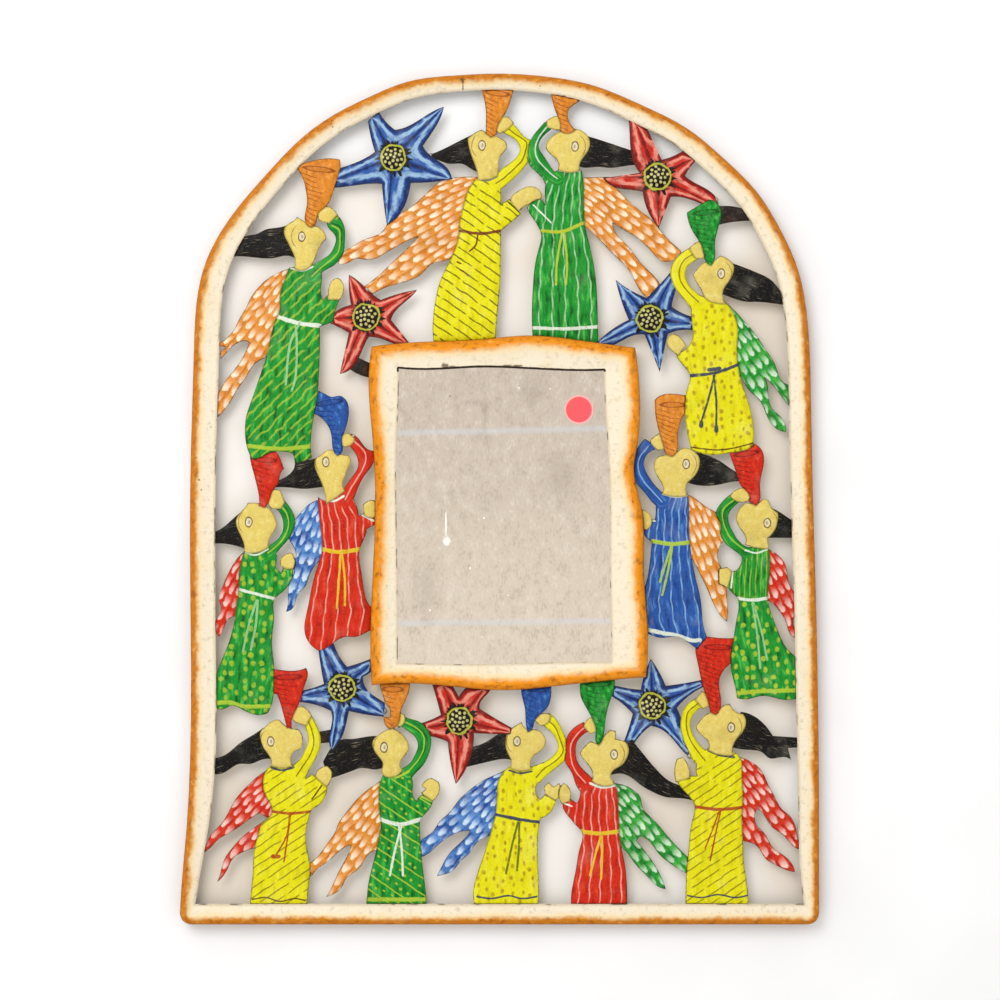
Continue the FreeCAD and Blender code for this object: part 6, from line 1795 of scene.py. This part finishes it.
def add_blob(blobs, middle, radius, seed, tall_share):
    """A flat-bottomed lump whose outline wanders."""
    tall = (BLOB_FOOT - BLOB_TOP) * tall_share

    def point(across, rise, up):
        return blobs.verts.new((across * MM, -(BLOB_FOOT - rise) * MM, up * MM))

    top = point(middle[0], tall, middle[1])
    foot = point(middle[0], 0.0, middle[1])
    rings = []
    for ring in range(1, BLOB_RINGS + 1):
        share = ring / BLOB_RINGS
        row = []
        for step in range(BLOB_STEPS):
            turn = 2 * math.pi * step / BLOB_STEPS
            wander = 1 - 0.3 * abs(noise.noise(Vector((math.cos(turn), math.sin(turn), seed))))
            away = radius * share * wander
            rise = tall * math.sqrt(1 - share * share)
            row.append(point(middle[0] + math.cos(turn) * away, rise, middle[1] + math.sin(turn) * away))
        rings.append(row)
    for step in range(BLOB_STEPS):
        after = (step + 1) % BLOB_STEPS
        blobs.faces.new((top, rings[0][step], rings[0][after]))
        blobs.faces.new((foot, rings[-1][after], rings[-1][step]))
        for inner, outer in zip(rings, rings[1:]):
            blobs.faces.new((inner[step], outer[step], outer[after], inner[after]))


solder_blobs()


# Finishes of the CAD nodes that stay
def dress(name, finish):
    """Gives a CAD node its finish."""
    mesh = frame["nodes"][name].data
    mesh.materials.clear()
    mesh.materials.append(finish)


dress("mirror_glass", glass_finish())
dress("price_dot", dot_finish())
dress("backing_card", card_finish())
dress("back_pan", bare_tin("pan_tin"))
dress("hanger_strap", bare_tin("strap_tin"))
dress("hanger_ring", wire_finish())

# Stage: a pale wall seen only from the front, a pale floor out of view, and soft light from all round
WALL_REACH, WALL_GAP = 3.0, 0.0006
FLOOR_LEVEL = -0.62
WHITE_ABOVE_PIXEL, WHITE_FADE = 140, 45.0


def stage_plane(name, corners, finish):
    """A flat stage piece with one face."""
    mesh = bpy.data.meshes.new(name)
    mesh.from_pydata(corners, [], [tuple(range(len(corners)))])
    mesh.materials.append(finish)
    linked(name, mesh)


def wall_finish(name, light, dark, white_level=None):
    """Pale wall, white above a given level: clear from behind and to all rays but the camera's."""
    finish = Finish(name)
    tone = finish.mix(finish.ramp(finish.noise(110.0, 2.0), -0.14, 0.14), light, dark)
    if white_level is not None:
        _, _, z = finish.parts(finish.place())
        tone = finish.mix(finish.ramp(z, white_level - WHITE_FADE, white_level), tone, paint(255, 255, 255))
    plain = finish.node("ShaderNodeBsdfDiffuse", {"Color": tone})
    clear = finish.node("ShaderNodeBsdfTransparent")
    behind = finish.node("ShaderNodeNewGeometry", output="Backfacing")
    seen = finish.node("ShaderNodeLightPath", output="Is Camera Ray")
    finish.end(finish.node("ShaderNodeMixShader", [seen * (1.0 - behind), clear, plain]))
    return finish.data


def floor_finish():
    """A pale floor, barely clouded."""
    finish = Finish("floor")
    tone = finish.mix(finish.noise(300.0) + 0.5, paint(240, 239, 238), paint(232, 231, 231))
    return finish.surface(tone, 0.8, shine=0.1)


stage_plane(
    "wall",
    [(-WALL_REACH, WALL_GAP, FLOOR_LEVEL), (WALL_REACH, WALL_GAP, FLOOR_LEVEL),
     (WALL_REACH, WALL_GAP, WALL_REACH), (-WALL_REACH, WALL_GAP, WALL_REACH)],
    wall_finish("wall", paint(254, 254, 254), paint(250, 250, 250)),
)
white_level = float(spot(0, WHITE_ABOVE_PIXEL)[1])
# Inside the rim the wall is clouded darker and warmer: painted shade with warm bounce light from the tin, and
# white above a level
stage_plane(
    "wall_painted_shade",
    [(x * MM, WALL_GAP / 2, z * MM) for x, z in rim_middle],
    wall_finish("wall_painted_shade", paint(253, 248, 242), paint(236, 224, 208), white_level),
)
stage_plane(
    "floor",
    [(-WALL_REACH, -WALL_REACH, FLOOR_LEVEL), (WALL_REACH, -WALL_REACH, FLOOR_LEVEL),
     (WALL_REACH, WALL_REACH, FLOOR_LEVEL), (-WALL_REACH, WALL_REACH, FLOOR_LEVEL)],
    floor_finish(),
)

SKY_SEEN, SKY_LIGHT = 1.0, 0.765
world = bpy.data.worlds.new("sky")
bpy.context.scene.world = world
sky = Finish("sky", world)
RAYS = ("Is Camera Ray", "Is Glossy Ray", "Is Transmission Ray")
camera_ray, glossy_ray, clear_ray = (sky.node("ShaderNodeLightPath", output=key) for key in RAYS)
seen = (camera_ray + glossy_ray + clear_ray).least(1.0)
light = {"Color": (1, 1, 1, 1), "Strength": seen * (SKY_SEEN - SKY_LIGHT) + SKY_LIGHT}
sky.end(sky.node("ShaderNodeBackground", light), "ShaderNodeOutputWorld")
